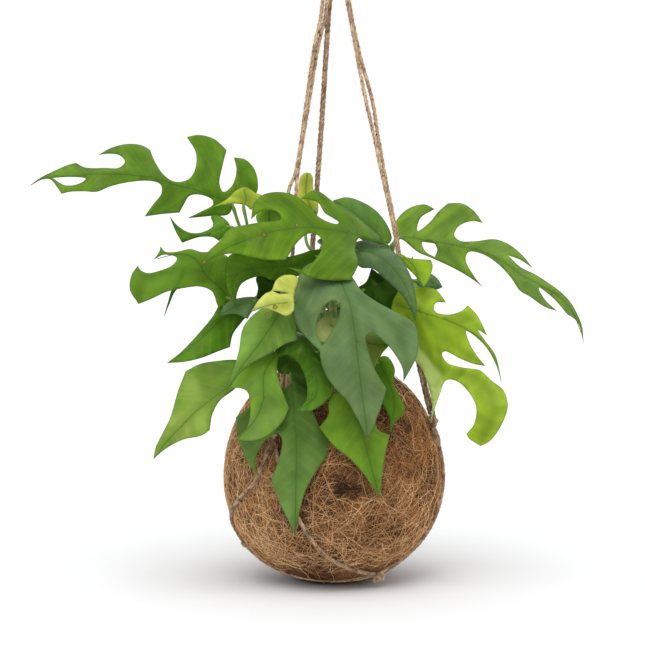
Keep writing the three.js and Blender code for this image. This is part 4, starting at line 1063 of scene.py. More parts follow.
@dataclass(frozen=True)
class Hanger:
    """The jute hanger: three doubled cords from the top knot, and the cradle round the ball, mm."""

    strand: float = TWINE.radius  # radius of a strand
    knot: float = 6.0  # radius of a shoulder knot
    gap: float = 0.3  # room between pieces that touch
    step: float = 2.5  # along a cord's line
    top: tuple = (1.5, 0.0, 518.3)  # the middle of the top knot's lower end
    top_radius: float = 8.0  # of the top knot
    top_height: float = 17.0  # of the top knot
    wraps: float = 4.4  # how often the top knot's twine goes round it
    core: float = 2.4  # how far from its axis the strands run inside it
    loop_foot: float = 2.5  # half the distance between the hanging loop's feet
    loop_half_width: float = 13.0  # of the hanging loop
    loop_height: float = 46.0  # of the hanging loop
    off: float = 0.25  # how far a cradle strand lies off the ball, besides the gap
    sunk: float = 3.2  # how far the ring runs inside the coir between its knots
    cord_hairs: float = 2.2  # loose hairs on a millimetre of cord
    knot_hairs: float = 1.0  # the same for knots and cradle
    ring_light: float = 0.66  # the middle shade of the ring's twine

    SEEDS = {"cords": 40, "shoulders": 60, "top": 70, "cradle": 80, "ring": 90}
    # The loop's line between its feet, in shares of its half width and its height.
    LOOP = ((-1, 0.45), (-0.7, 0.85), (0, 1), (0.7, 0.85), (1, 0.45))
    ROPES = {
        "left": Rope(-33.8, 129, (1.0, 0.0, 0.0), (180, 240), """325,0,-31,1.8,0 323,17,-31,1.8,0
            317,43,-32,1.8,30 308,100,-32,1.8,55 299.8,154,-34,1.8,75 296.5,174,-35,2,60
            292.8,189,-37,3,10 288,250,-44,4,0 286,330,-54,3,0 283,395,-62,2.1,0"""),
        "right": Rope(75, 133, (0.7, 0.7, 0.0), (300, 0), """347.8,0,-28,2.1,25 353.6,31,-27.5,2.1,22
            359.5,60,-27,2.3,8 369,100,-26,3.8,0 377,141,-25,2.2,0 385,182,-24,2.1,14
            394,225,-23,2.1,26 397.6,247,-22,2.1,28 405,295,-20,2.1,26 414,340,-18,2.1,20
            425,388,-17,2.1,10""", 0.42),
        "back": Rope(200, 138, (-0.3, 0.95, 0.0), (60, 120), """329.6,0,-14,2.6,0 326,55,-2,2.2,0
            322.6,108,10,2.1,0 317,187,28,2.1,0 313,240,39,2.1,0 308,330,60,2.1,0""", 0.2, 0.5),
    }
    # Each low knot's turn in degrees, its height and its size in mm.
    LOW_KNOTS = {"front": (41, 12.6, 4.6), "left": (-86, 31, 2.1), "back": (165, 12.6, 2.6)}
    # A frayed end: mm off the ball, sideways and upwards from the middle of its knot.
    TAIL = ((0, 0, 0), (1.8, 2.6, 0), (1.2, 5.2, 0.4))
    # Each cradle strand's shoulder knot and low knot, and turn,height stops between them.
    CRADLE = {
        "left_outer": ("left", "left", "-43.6,91 -52,80.6 -61.7,69.6 -74,57 -84,45"),
        "left_front": ("left", "front", "-27,100 -18,65 -13,50 -4,33 10,22 26,16"),
        "right_front": ("right", "front", "80,113 84,88 79,65 70,40 59,26.5"),
        "right_back": ("right", "back", "97,110 120,62 147,27"),
        "back_right": ("back", "back", "193,100 183,55 173,25"),
        "back_left": ("back", "left", "212,100 232,64 254,42"),
    }
    # How much of a cradle strand its two knots stand for, mm.
    TRIMS = (4, 3)
    # The ring's three stretches: the low knots at their ends and the stops between.
    UNDER = (
        ("left", "front", "-72,17 -50,8 -20,5 12,5 31,8"),
        ("front", "back", "56,8 80,5 128,5 151,8"),
        ("back", "left", "182,8 212,5.5 238,9 260,19"),
    )

    def shoulder(self, rope: Rope) -> Array:
        """The middle of a cord's shoulder knot, metres."""
        return BALL.on(rope.turn, rope.height, self.knot + 2 * self.gap)

    def strand_line(self, rope: Rope, side: int) -> Array:
        """The line of one strand of a cord.

        Args:
            rope: the cord.
            side: -1 or 1, which strand.

        Returns:
            Rows of metres from the top knot to the shoulder knot.
        """
        seat = math.radians(rope.seats[1 if side > 0 else 0])
        rows = numbers(rope.route)
        apart = np.array(rope.apart)
        turned = np.radians(rows[:, 4:])
        across = np.cos(turned) * apart + np.sin(turned) * np.cross([0.0, 0.0, 1.0], apart)
        points = PICTURE.at(rows[:, 0], rows[:, 1], rows[:, 2]) + side * rows[:, 3:4] * MM * across
        spread = 2 * self.strand + 2 * self.gap
        top = np.array([self.top[0] + spread * math.cos(seat), self.top[1] + spread * math.sin(seat),
                        self.top[2] - 2 * self.gap]) * MM
        centre = self.shoulder(rope)
        end = centre + unit(points[-1] - centre) * (self.knot - self.strand / 2) * MM
        end = end + side * (self.strand + self.gap) * MM * apart
        return resampled(spline(np.vstack([top, points, end])), self.step * MM)

    def tied(self, name: str, lines: list, seed: int, node: str,
             light: float = 0.5) -> bpy.types.Object:
        """Twine along lines, with hairs.

        Args:
            name: the piece's name.
            lines: each in metres.
            seed: starts the draws of the hairs.
            node: the CAD node that it stands for.
            light: its middle shade.

        Returns:
            The piece.
        """
        skin = Skin.empty("shade")
        for line in lines:
            TWINE.wound(skin, line, light=light)
            TWINE.hairs(skin, line, self.knot_hairs, seed)
        piece = skin.build(name, JUTE)
        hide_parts(node)
        return piece

    def top_knot(self) -> bpy.types.Object:
        """The top knot: twine wrapped round the six strands, and the hanging loop over it.

        Returns:
            The piece.
        """
        x, y, z = self.top
        t = np.linspace(0, 1, 200)
        swell = (self.top_radius - self.strand) * (0.86 + 0.14 * np.sin(np.pi * t))
        angle = 2 * np.pi * self.wraps * t
        wrap = np.stack([x + swell * np.cos(angle), y + swell * np.sin(angle),
                         z + self.strand + (self.top_height - 2 * self.strand - 1) * t], axis=1) * MM
        angle = 2 * np.pi * (self.wraps - 1) * t + 1.0
        core = np.stack([x + self.core * np.cos(angle), y + self.core * np.sin(angle),
                         z + self.strand + (self.top_height - 2.0) * t], axis=1) * MM
        foot = z + self.top_height * 0.7
        w, h = self.loop_half_width, self.loop_height
        arch = [(-self.loop_foot, 0), *((a * w, b * h) for a, b in self.LOOP), (self.loop_foot, 0)]
        loop = spline(np.array([[x + dx, y, foot + rise] for dx, rise in arch])) * MM
        return self.tied("top_knot_wrapped", [wrap, core, loop], self.SEEDS["top"], "top_knot")

    def shoulder_knot(self, name: str, rope: Rope, seed: int) -> None:
        """A shoulder knot, where a doubled cord parts into two cradle strands.

        Args:
            name: the cord's name.
            rope: the cord.
            seed: starts the draws of its hairs.
        """
        size = self.knot - self.strand + self.gap
        facing = BALL.outward(rope.turn, rope.height)
        knot = overhand(self.shoulder(rope), size, facing, 0.5)
        self.tied(f"shoulder_knot_tied_{name}", [knot], seed, f"shoulder_knot_{name}")

    def laid_line(self, stops: Array, sunk: float = 0.0) -> Array:
        """A strand's line on the ball.

        Args:
            stops: rows of turn, degrees, and height, mm.
            sunk: how far it dips between its ends, mm.

        Returns:
            Rows of metres, 1 mm apart.
        """
        way = spline(stops, 12)
        lift = self.strand + self.gap + self.off - sunk * np.sin(np.linspace(0, np.pi, len(way)))
        laid = np.array([BALL.on(turn, z, high) for (turn, z), high in zip(way, lift)])
        return resampled(laid, 1.0 * MM)

    def low_stop(self, name: str, before: float) -> tuple:
        """A low knot's place, with whole turns added to lie nearest to an angle.

        Args:
            name: the low knot.
            before: the angle, degrees.

        Returns:
            Its turn and height.
        """
        turn, z, _ = self.LOW_KNOTS[name]
        return turn + 360 * round((before - turn) / 360), z

    def cradle_line(self, start: str, end: str, way: str) -> Array:
        """The line of a cradle strand.

        Args:
            start: its shoulder knot.
            end: its low knot.
            way: the turn,height stops between them.

        Returns:
            Rows of metres.
        """
        rope = self.ROPES[start]
        rows = numbers(way)
        stops = np.vstack([[rope.turn, rope.height], rows, [self.low_stop(end, rows[-1][0])]])
        return self.laid_line(stops)[self.TRIMS[0] : -self.TRIMS[1]]

    def ring(self) -> None:
        """The strand under the ball, its three knots and the front one's frayed ends."""
        lines = []
        for start, end, way in self.UNDER:
            rows = numbers(way)
            lines.append(self.laid_line(np.vstack(
                [[self.low_stop(start, rows[0][0])], rows, [self.low_stop(end, rows[-1][0])]]),
                self.sunk))
        for i, (name, (turn, z, size)) in enumerate(self.LOW_KNOTS.items()):
            centre = BALL.on(turn, z, size + 0.8)
            facing = BALL.outward(turn, z)
            lines.append(overhand(centre, size, facing, 0.9 * i))
            if name != "front":
                continue
            side = unit(np.cross(facing, [0.0, 0.0, 1.0]))
            for way in (-1, 1):
                tail = [centre + (facing * out + side * wide * way + np.array([0, 0, up])) * MM
                        for out, wide, up in self.TAIL]
                lines.append(spline(np.array(tail)))
        self.tied("cradle_ring_tied", lines, self.SEEDS["ring"], "cradle_ring", self.ring_light)

    def build(self) -> None:
        """The whole hanger."""
        top = self.top_knot()
        for i, (name, rope) in enumerate(self.ROPES.items()):
            for k, (letter, side) in enumerate((("a", -1), ("b", 1))):
                line = self.strand_line(rope, side)
                skin = Skin.empty("shade")
                TWINE.wound(skin, line, 1.3 * k + i, rope.light, rope.end_shade)
                strand = skin.build(f"cord_{name}_{letter}_twine", JUTE)
                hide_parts(f"cord_{name}_{letter}")
                fuzz = Skin.empty("shade")
                TWINE.hairs(fuzz, line, self.cord_hairs, self.SEEDS["cords"] + 2 * i + k)
                hairs = fuzz.build(f"cord_{name}_{letter}_hairs", JUTE)
            self.shoulder_knot(name, rope, self.SEEDS["shoulders"] + i)
        for i, (name, (start, end, way)) in enumerate(self.CRADLE.items()):
            line = self.cradle_line(start, end, way)
            seed = self.SEEDS["cradle"] + i
            self.tied(f"cradle_twine_{name}", [line], seed, f"cradle_strand_{name}")
        self.ring()
        LOG.info("hanger of %d doubled cords and %d cradle strands", len(self.ROPES), len(self.CRADLE))


# ---- soil and stems ----
@dataclass(frozen=True)
class Soil:
    """The potting mix in the opening: a low dome of crumbs and chips, mm."""

    radius: float = 46.5  # of the dome
    rim: float = 156.6  # height of its edge
    dome: float = 7.0  # how much higher its middle stands
    skirt: float = 12.0  # how far it reaches down inside the wall
    rings: int = 22  # cross sections from its edge to its middle
    sides: int = 72  # corners of a ring
    chips: int = 420  # how many lie on it

    SEED = 17
    # The crumbs' sizes and heights, the spans of a chip's sides, and the share of chips by shade.
    CRUMBS = ((7, 1.5), (2.5, 0.8))
    CHIP_SIZES = ((1.0, 3.4), (0.8, 2.0), (0.5, 1.3))
    CHIP_SHADES = {0.0: 0.5, 0.15: 0.3, 0.7: 0.2}

    def build(self) -> None:
        """The dome with its crumbs."""
        skin = Skin.empty("shade")
        rings, sides = self.rings, self.sides
        angle = 2 * np.pi * np.arange(sides) / sides
        rows = []
        for i in range(rings + 1):
            share = 1 - i / rings * 0.985
            r = self.radius * share
            ring = np.stack([r * np.cos(angle), r * np.sin(angle),
                             np.full(sides, self.rim + self.dome * (1 - share**2))], axis=1)
            ring[:, 2] += [sum(high * noise.noise(Vector(p) / size) for size, high in self.CRUMBS)
                           for p in ring]
            rows.append(ring)
        skirt = rows[0].copy()
        skirt[:, 2] -= self.skirt
        skin.rings([skirt * [0.9, 0.9, 1.0], *rows], 0.0)
        draw = np.random.default_rng(self.SEED)
        for _ in range(self.chips):
            r = self.radius * 0.95 * math.sqrt(draw.uniform(0, 1))
            turn = draw.uniform(0, 2 * np.pi)
            height = self.rim + self.dome * (1 - (r / self.radius) ** 2) + draw.uniform(-0.4, 1.6)
            self.chip(skin, draw, np.array([r * math.cos(turn), r * math.sin(turn), height]))
        soil = skin.build("potting_mix", SOIL, smooth=False)
        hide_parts("soil")
        LOG.info("potting mix with %d chips", self.chips)

    def chip(self, skin: Skin, draw: np.random.Generator, centre: Array) -> None:
        """Adds one chip: a box knocked out of square.

        Args:
            skin: the mesh that it goes into.
            draw: gives its size, its turn and its shade.
            centre: mm.
        """
        corners = np.array([[x, y, z] for x in (-1, 1) for y in (-1, 1) for z in (-1, 1)], float)
        size = np.array([draw.uniform(*span) for span in self.CHIP_SIZES])
        corners = corners * size * draw.uniform(0.65, 1.15, (8, 3))
        a, b = draw.uniform(0, 2 * np.pi), draw.uniform(-0.6, 0.6)
        spin = np.array([[math.cos(a), -math.sin(a), 0], [math.sin(a), math.cos(a), 0], [0, 0, 1]])
        tip = np.array([[math.cos(b), 0, math.sin(b)], [0, 1, 0], [-math.sin(b), 0, math.cos(b)]])
        points = (corners @ tip.T @ spin.T + centre) * MM
        sides = [[0, 1, 3, 2], [4, 6, 7, 5], [0, 4, 5, 1], [2, 3, 7, 6], [0, 2, 6, 4], [1, 5, 7, 3]]
        shade = draw.choice([*self.CHIP_SHADES], p=[*self.CHIP_SHADES.values()])
        skin.add(points, np.array(sides), shade=shade)


@dataclass(frozen=True)
class Stem:
    """A vine stem that climbs out of the potting mix."""

    name: str  # left, middle, right or back
    route: str  # x,y,depth from under the potting mix to the last leaf
    radius: float = 3.2  # at a joint, mm
    joint: float = 17.0  # from one joint to the next
    ring: float = 0.9  # half width of the brown ring at a joint
    swelling: float = 2.6  # half width of the thicker stretch there
    bud: float = 4.0  # the stretch in which the stem closes
    sides: int = 16  # corners of its cross section

    @property
    def line(self) -> Array:
        """The stem's line, metres."""
        return spline(PICTURE.places(self.route))

    def build(self) -> None:
        """The stem, a little thicker at each joint, closing to a bud at its end."""
        line = resampled(self.line, self.ring * MM)
        way = arc_lengths(line) / MM
        phase = np.abs((way % self.joint) - self.joint / 2)
        ring = np.exp(-((phase / self.ring) ** 2))
        radii = self.radius * (0.84 + 0.12 * np.exp(-((phase / self.swelling) ** 2)) + 0.05 * ring)
        radii = radii * np.clip((way[-1] - way) / self.bud + 0.15, 0, 1) ** 0.5
        skin = Skin.empty("ring")
        skin.sweep(line, radii * MM, self.sides, carried_frame(line), ring=ring[None, :])
        stem = skin.build(f"vine_stem_{self.name}", STEM)
        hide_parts(f"stem_{self.name}")
        LOG.info("stem %s", self.name)


STEMS = (
    Stem("left", "325,400,-2 312,345,-10 290,300,-12 262,262,-10 243,232,-12"),
    Stem("middle", "334,400,-14 326,350,-20 322,310,-24 322,275,-22 325,248,-16"),
    Stem("right", "344,400,0 358,340,-8 374,300,-8 388,262,-6 393,243,-6"),
    Stem("back", "338,400,14 338,350,18 333,310,20 326,270,20 322,245,18"),
)


# ---- leaves ----
@dataclass(frozen=True)
class LeafForm:
    """A leaf of the front, in pixels of the picture."""

    name: str
    slot: Slot
    finish: LeafFinish
    outline: str  # edge points in order, "!" at a sharp tip or corner
    rib: str  # from the leaf's foot to its tip
    pins: str  # x,y,depth places that the blade passes through
    petiole: str  # x,y,depth from the stem to the foot
    hole: str = ""  # edge points of a hole
    side_ribs: str = ""  # from the rib out into the lobes, one after another with ";" between
    fold: float = 0.2  # how much the halves fall away from the rib
    wave: float = 1.3  # mm that the margin waves
    spots: str = ""  # x,y of dry spots on the blade and the radius of each in mm
    flap: str = ""  # edge points of a part that is turned over and shows its underside


def edge_loop(text: str, step: float) -> Array:
    """A closed edge, smooth except at its sharp tips.

    Args:
        text: the edge's points.
        step: pixels between samples.

    Returns:
        Rows of pixels, the first not repeated.
    """
    words = text.split()
    points = numbers(text)
    tips = [i for i, word in enumerate(words) if word.endswith("!")]
    if not tips:
        ring = spline(points, 16, closed=True)
        return resampled(np.vstack([ring, ring[:1]]), step)[:-1]
    out = []
    for i, tip in enumerate(tips):
        last = tips[i + 1] if i + 1 < len(tips) else tips[0] + len(points)
        stretch = points[np.arange(tip, last + 1) % len(points)]
        out.append(resampled(spline(stretch, 16), step, 1)[:-1])
    return np.vstack(out)


def bent_sheet(pins: Array) -> Callable:
    """The smooth surface of least bending through pins.

    Args:
        pins: rows of x, y and depth.

    Returns:
        The surface's depth as a function of x and y.
    """
    def bend(x: Array, y: Array) -> Array:
        """How much each pin would bend a thin sheet at (x, y)."""
        square = (x[:, None] - pins[:, 0]) ** 2 + (y[:, None] - pins[:, 1]) ** 2
        return square * np.log(np.maximum(square, 1e-12))

    n = len(pins)
    table = np.zeros((n + 3, n + 3))
    table[:n, :n] = bend(pins[:, 0], pins[:, 1])
    table[:n, n:] = np.column_stack([np.ones(n), pins[:, :2]])
    table[n:, :n] = table[:n, n:].T
    weights = np.linalg.solve(table, np.concatenate([pins[:, 2], np.zeros(3)]))

    def depth(x: Array, y: Array) -> Array:
        """The sheet's depth at (x, y), mm."""
        flat = weights[n] + weights[n + 1] * x + weights[n + 2] * y
        return bend(x, y) @ weights[:n] + flat

    return depth


def to_line(points: Array, line: Array) -> tuple:
    """How far points are from a line, and where along it.

    Args:
        points: rows of x, y.
        line: rows of x, y.

    Returns:
        For each point the distance, the way along the line and the side, 1 or -1.
    """
    a, b = line[:-1], line[1:]
    run = b - a
    share = np.einsum("pik,ik->pi", points[:, None] - a, run) / np.maximum((run**2).sum(1), 1e-12)
    share = share.clip(0, 1)
    foot = a + share[..., None] * run
    gap = np.linalg.norm(points[:, None] - foot, axis=2)
    best = gap.argmin(1)
    pick = np.arange(len(points))
    way = arc_lengths(line)
    along = way[best] + share[pick, best] * np.linalg.norm(run[best], axis=1)
    out = points - foot[pick, best]
    side = np.sign(run[best, 0] * out[:, 1] - run[best, 1] * out[:, 0])
    return gap[pick, best], along, np.where(side == 0, 1.0, side)


def inside(points: Array, loop: Array) -> Array:
    """Whether each point lies inside a closed loop.

    Args:
        points: rows of x, y.
        loop: rows of x, y, the first not repeated.

    Returns:
        True or False for each point.
    """
    x, y = points[:, :1], points[:, 1:]
    a, b = loop, np.roll(loop, -1, axis=0)
    over = (a[:, 1] > y) != (b[:, 1] > y)
    rise = np.where(b[:, 1] == a[:, 1], 1e-12, b[:, 1] - a[:, 1])
    cross = a[:, 0] + (y - a[:, 1]) / rise * (b[:, 0] - a[:, 0])
    return ((over & (x < cross)).sum(1) % 2).astype(bool)


@dataclass(frozen=True)
class LeafShape:
    """Builds a leaf's blade, midrib and petiole from its form."""

    form: LeafForm
    seed: int  # starts the waves of its margin
    matrix: Array | None = None  # moves the finished leaf to the far side, or None
    route: Array | None = None  # the petiole's line in metres where it isn't the form's own
    edge_step: float = 1.8  # pixels from one point of an edge to the next
    grid: float = 2.7  # pixels from one inner point to the next
    thickness: float = 0.8  # of the blade, mm
    margin: float = 0.3  # how thick its edge is, mm
    petiole_radius: float = 1.35  # mm

    # How far inner points keep from an edge and from the rib, and the rib's from an edge, pixels.
    CLEAR = (1.3, 1.2, 1.0)
    # Height of a row of even triangles, as a share of their width.
    ROW = 0.87
    # Side veins: how fast they slope to the tip, and mm that set one half's off from the other's.
    VEIN_SLANT = 0.85
    VEINS_APART = 40
    FOLD_FROM = 5
    # A side rib is thinner than the midrib: mm that it counts as further off, all along and at its tip.
    SIDE_RIB = (0.25, 0.8)
    THIN_EDGE = 3
    FLAP_FOLD = 5
    # How far the midrib's middle lies under the blade, mm, at its foot and at its tip.
    MIDRIB_DROPS = (1.15, 0.7)
    # Random ripples: how many, their height and their lengths, mm.
    RIPPLES = 5
    RIPPLE = 0.24
    RIPPLE_MM = (2.4, 5.0)
    # mm that the blade swells between side veins, and depth and width of the creases at its ribs.
    QUILT = 0.12
    CREASE = (0.5, 1.2)
    # The petiole: how wide it is at mm from the stem, as shares, mm that it swells below the blade
    # and half the swelling's length, and how much less the midrib has of its colour.
    PETIOLE_FOOT = ((0, 1.5), (5, 1.35), (9, 1.0))
    KNEE = (0.32, 3.2)
    STALK_FADE = 0.35

    def flat(self) -> tuple:
        """The blade laid flat.

        Returns:
            Its points, its triangles, its closed edges and its rib, pixels.
        """
        loops = [edge_loop(self.form.outline, self.edge_step)]
        if self.form.hole:
            loops.append(edge_loop(self.form.hole, self.edge_step))
        rib = resampled(spline(numbers(self.form.rib)[:, :2]), self.edge_step)
        low, high = loops[0].min(0), loops[0].max(0)
        columns = np.arange(low[0], high[0], self.grid)
        rows = np.arange(low[1], high[1], self.grid * self.ROW)
        x, y = np.meshgrid(columns, rows)
        x = x + (np.arange(len(rows))[:, None] % 2) * self.grid / 2
        inner = np.column_stack([x.ravel(), y.ravel()])
        closed = [np.vstack([loop, loop[:1]]) for loop in loops]
        from_edge = np.min([to_line(inner, loop)[0] for loop in closed], axis=0)
        inner = inner[(from_edge > self.CLEAR[0]) & (to_line(inner, rib)[0] > self.CLEAR[1])]
        middle = rib[np.min([to_line(rib, loop)[0] for loop in closed], axis=0) > self.CLEAR[2]]
        points = np.vstack([*loops, middle, inner])
        edges, base = [], 0
        for loop in loops:
            n = len(loop)
            edges += [(base + i, base + (i + 1) % n) for i in range(n)]
            base += n
        made = geometry.delaunay_2d_cdt([Vector(p) for p in points], edges, [], 0, 1e-6)
        points = np.array([tuple(p) for p in made[0]])
        faces = np.array(made[2])
        centres = points[faces].mean(1)
        keep = inside(centres, loops[0])
        if self.form.hole:
            keep &= ~inside(centres, loops[1])
        return points, faces[keep], closed, rib

    def build(self, name: str, node: str) -> None:
        """The leaf as one piece.

        Args:
            name: the piece's name.
            node: the CAD node that it stands for.
        """
        form = self.form
        flat, faces, loops, rib = self.flat()
        mm = PICTURE.mm_per_pixel
        depth = bent_sheet(numbers(form.pins))
        gap, along, side = to_line(flat, rib)
        rib_mm, along_mm = gap * mm, along * mm
        edge_mm = np.min([to_line(flat, loop)[0] for loop in loops], axis=0) * mm
        vein = along_mm - self.VEIN_SLANT * rib_mm + self.VEINS_APART * (side > 0)
        fold = form.fold * rib_mm**2 / (rib_mm + self.FOLD_FROM)
        nearest = rib_mm
        for text in form.side_ribs.split(";") if form.side_ribs else ():
            lobe = resampled(spline(numbers(text)), self.edge_step)
            away, out, _ = to_line(flat, lobe)
            share = np.clip(1 - out / arc_lengths(lobe)[-1], 0, 1)
            finer = away * mm + self.SIDE_RIB[0] + self.SIDE_RIB[1] * (1 - share)
            nearest = np.minimum(nearest, finer)
        lift = self.relief(along_mm, rib_mm, nearest, edge_mm, vein, side, flat * mm) - fold

        def place(x: Array, y: Array, raised: float | Array = 0.0) -> Array:
            """The sheet's points at (x, y), raised mm towards the eye, metres."""
            return PICTURE.at(x, y, depth(x, y) - raised)

        def facing(x: Array, y: Array) -> Array:
            """The direction off the sheet, towards the eye, at (x, y)."""
            return unit(np.cross(place(x + 1, y) - place(x - 1, y), place(x, y - 1) - place(x, y + 1)))

        x, y = flat[:, 0], flat[:, 1]
        normal = facing(x, y)
        whole = np.clip(edge_mm / self.THIN_EDGE, 0, 1)
        half = (self.margin + (self.thickness - self.margin) * whole) / 2
        middle = place(x, y, lift)
        upper, lower = (middle + normal * (s * half * MM)[:, None] for s in (1, -1))
        values = {"rib_mm": nearest, "vein_mm": vein, "edge_mm": edge_mm,
                  "reach": np.clip(along / arc_lengths(rib)[-1], 0, 1)}
        skin = Skin.empty("rib_mm", "vein_mm", "edge_mm", "reach", "under", "stalk")
        a, b, c = flat[faces[:, 0]], flat[faces[:, 1]], flat[faces[:, 2]]
        turned = (b[:, 0] - a[:, 0]) * (c[:, 1] - a[:, 1]) - (b[:, 1] - a[:, 1]) * (c[:, 0] - a[:, 0]) > 0
        faces = np.where(turned[:, None], faces[:, ::-1], faces)
        flipped = np.zeros(len(flat))
        if form.flap:
            flap = numbers(form.flap)
            from_fold = to_line(flat, np.vstack([flap, flap[:1]]))[0] * mm
            flipped = inside(flat, flap) * np.clip(from_fold / self.FLAP_FOLD, 0, 1)
        skin.add(self.moved(upper), faces, under=flipped, **values)
        skin.add(self.moved(lower), faces[:, ::-1], under=1.0, **values)
        n = len(flat)
        sides = np.vstack([faces[:, [0, 1]], faces[:, [1, 2]], faces[:, [2, 0]]])
        keys = set(map(tuple, sides.tolist()))
        rim = np.array([(p, q) for p, q in sides.tolist() if (q, p) not in keys])
        skin.faces.append(np.column_stack([rim[:, 1], rim[:, 0], rim[:, 0] + n, rim[:, 1] + n]))
        under = resampled(rib, 4.0)[1:-1]
        above = lift[np.linalg.norm(under[:, None] - flat, axis=2).argmin(1)]
        x, y = under[:, 0], under[:, 1]
        drop = np.linspace(*self.MIDRIB_DROPS, len(under))[:, None] * MM
        self.stalk(skin, self.moved(place(x, y, above) - facing(x, y) * drop))
        spots = numbers(form.spots).reshape(-1, 3)
        rows = np.column_stack([place(spots[:, 0], spots[:, 1]), spots[:, 2] * MM])
        finish = replace(form.finish, spots=tuple(map(tuple, rows.tolist())))
        leaf = skin.build(name, finish.material(f"leaf_skin_{name}"))
        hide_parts(node)
        LOG.info("leaf %s", name)

    def relief(self, along: Array, rib: Array, crease: Array, edge: Array,
               vein: Array, side: Array, spot: Array) -> Array:
        """How far the blade stands out towards the eye: waves, quilting between veins and creases.

        Args:
            along: mm along the midrib.
            rib: mm from the midrib.
            crease: mm from the nearest rib of any kind.
            edge: mm from the margin.
            vein: where the point lies across the run of the side veins, mm.
            side: 1 or -1, the half of the blade.
            spot: the flat place, mm.

        Returns:
            mm for each point.
        """
        draw = np.random.default_rng(self.seed)
        phase = draw.uniform(0, 2 * np.pi, 3)
        lift = self.form.wave * np.clip(rib / 14, 0, 1) * np.sin(along / 6.5 + phase[0] + side * phase[1])
        for _ in range(self.RIPPLES):
            heading = draw.uniform(0, np.pi)
            across = spot @ [math.cos(heading), math.sin(heading)]
            size = draw.uniform(*self.RIPPLE_MM)
            lift = lift + self.RIPPLE * np.sin(across / size + draw.uniform(0, 2 * np.pi))
        quilt = np.cos(2 * np.pi * vein / LeafFinish.VEIN_MM + phase[2]) * np.clip(rib / 4, 0, 1)
        deep, wide = self.CREASE
        whole = np.clip(edge / self.THIN_EDGE, 0, 1)
        return lift + self.QUILT * quilt - deep * np.exp(-((crease / wide) ** 2)) * whole

    def moved(self, points: Array) -> Array:
        """The leaf's points where it really is.

        Args:
            points: rows of metres.

        Returns:
            The rows, turned and moved where the leaf is on the far side.
        """
        if self.matrix is None:
            return points
        return points @ self.matrix[:3, :3].T + self.matrix[:3, 3]

    def stalk(self, skin: Skin, run: Array) -> None:
        """Adds the petiole, its swelling below the blade, and the midrib that it runs on into.

        Args:
            skin: the mesh that it goes into.
            run: the midrib's line under the blade, metres.
        """
        start = self.moved(PICTURE.places(self.form.petiole)) if self.route is None else self.route
        line = spline(np.vstack([start[:-1], (start[-1] + run[0]) / 2, run]), 14)
        foot = arc_lengths(spline(start, 14))[-1] / MM
        line = resampled(line, 1.1 * MM)
        way = arc_lengths(line) / MM
        r = self.petiole_radius
        stops, shares = zip(*self.PETIOLE_FOOT)
        thin = np.interp(way, [*stops, foot, foot + 8, way[-1]],
                         [*(share * r for share in shares), r, 0.8 * r, 0.3])
        more, long = self.KNEE
        thin += more * np.exp(-(((way - foot + 4) / long) ** 2))
        blade = np.clip((way - foot) / 6, 0, 1)
        skin.sweep(line, thin * MM, 8, carried_frame(line), rib_mm=0.9, edge_mm=9.0, under=0.0,
                   stalk=(1 - self.STALK_FADE * blade)[None, :])


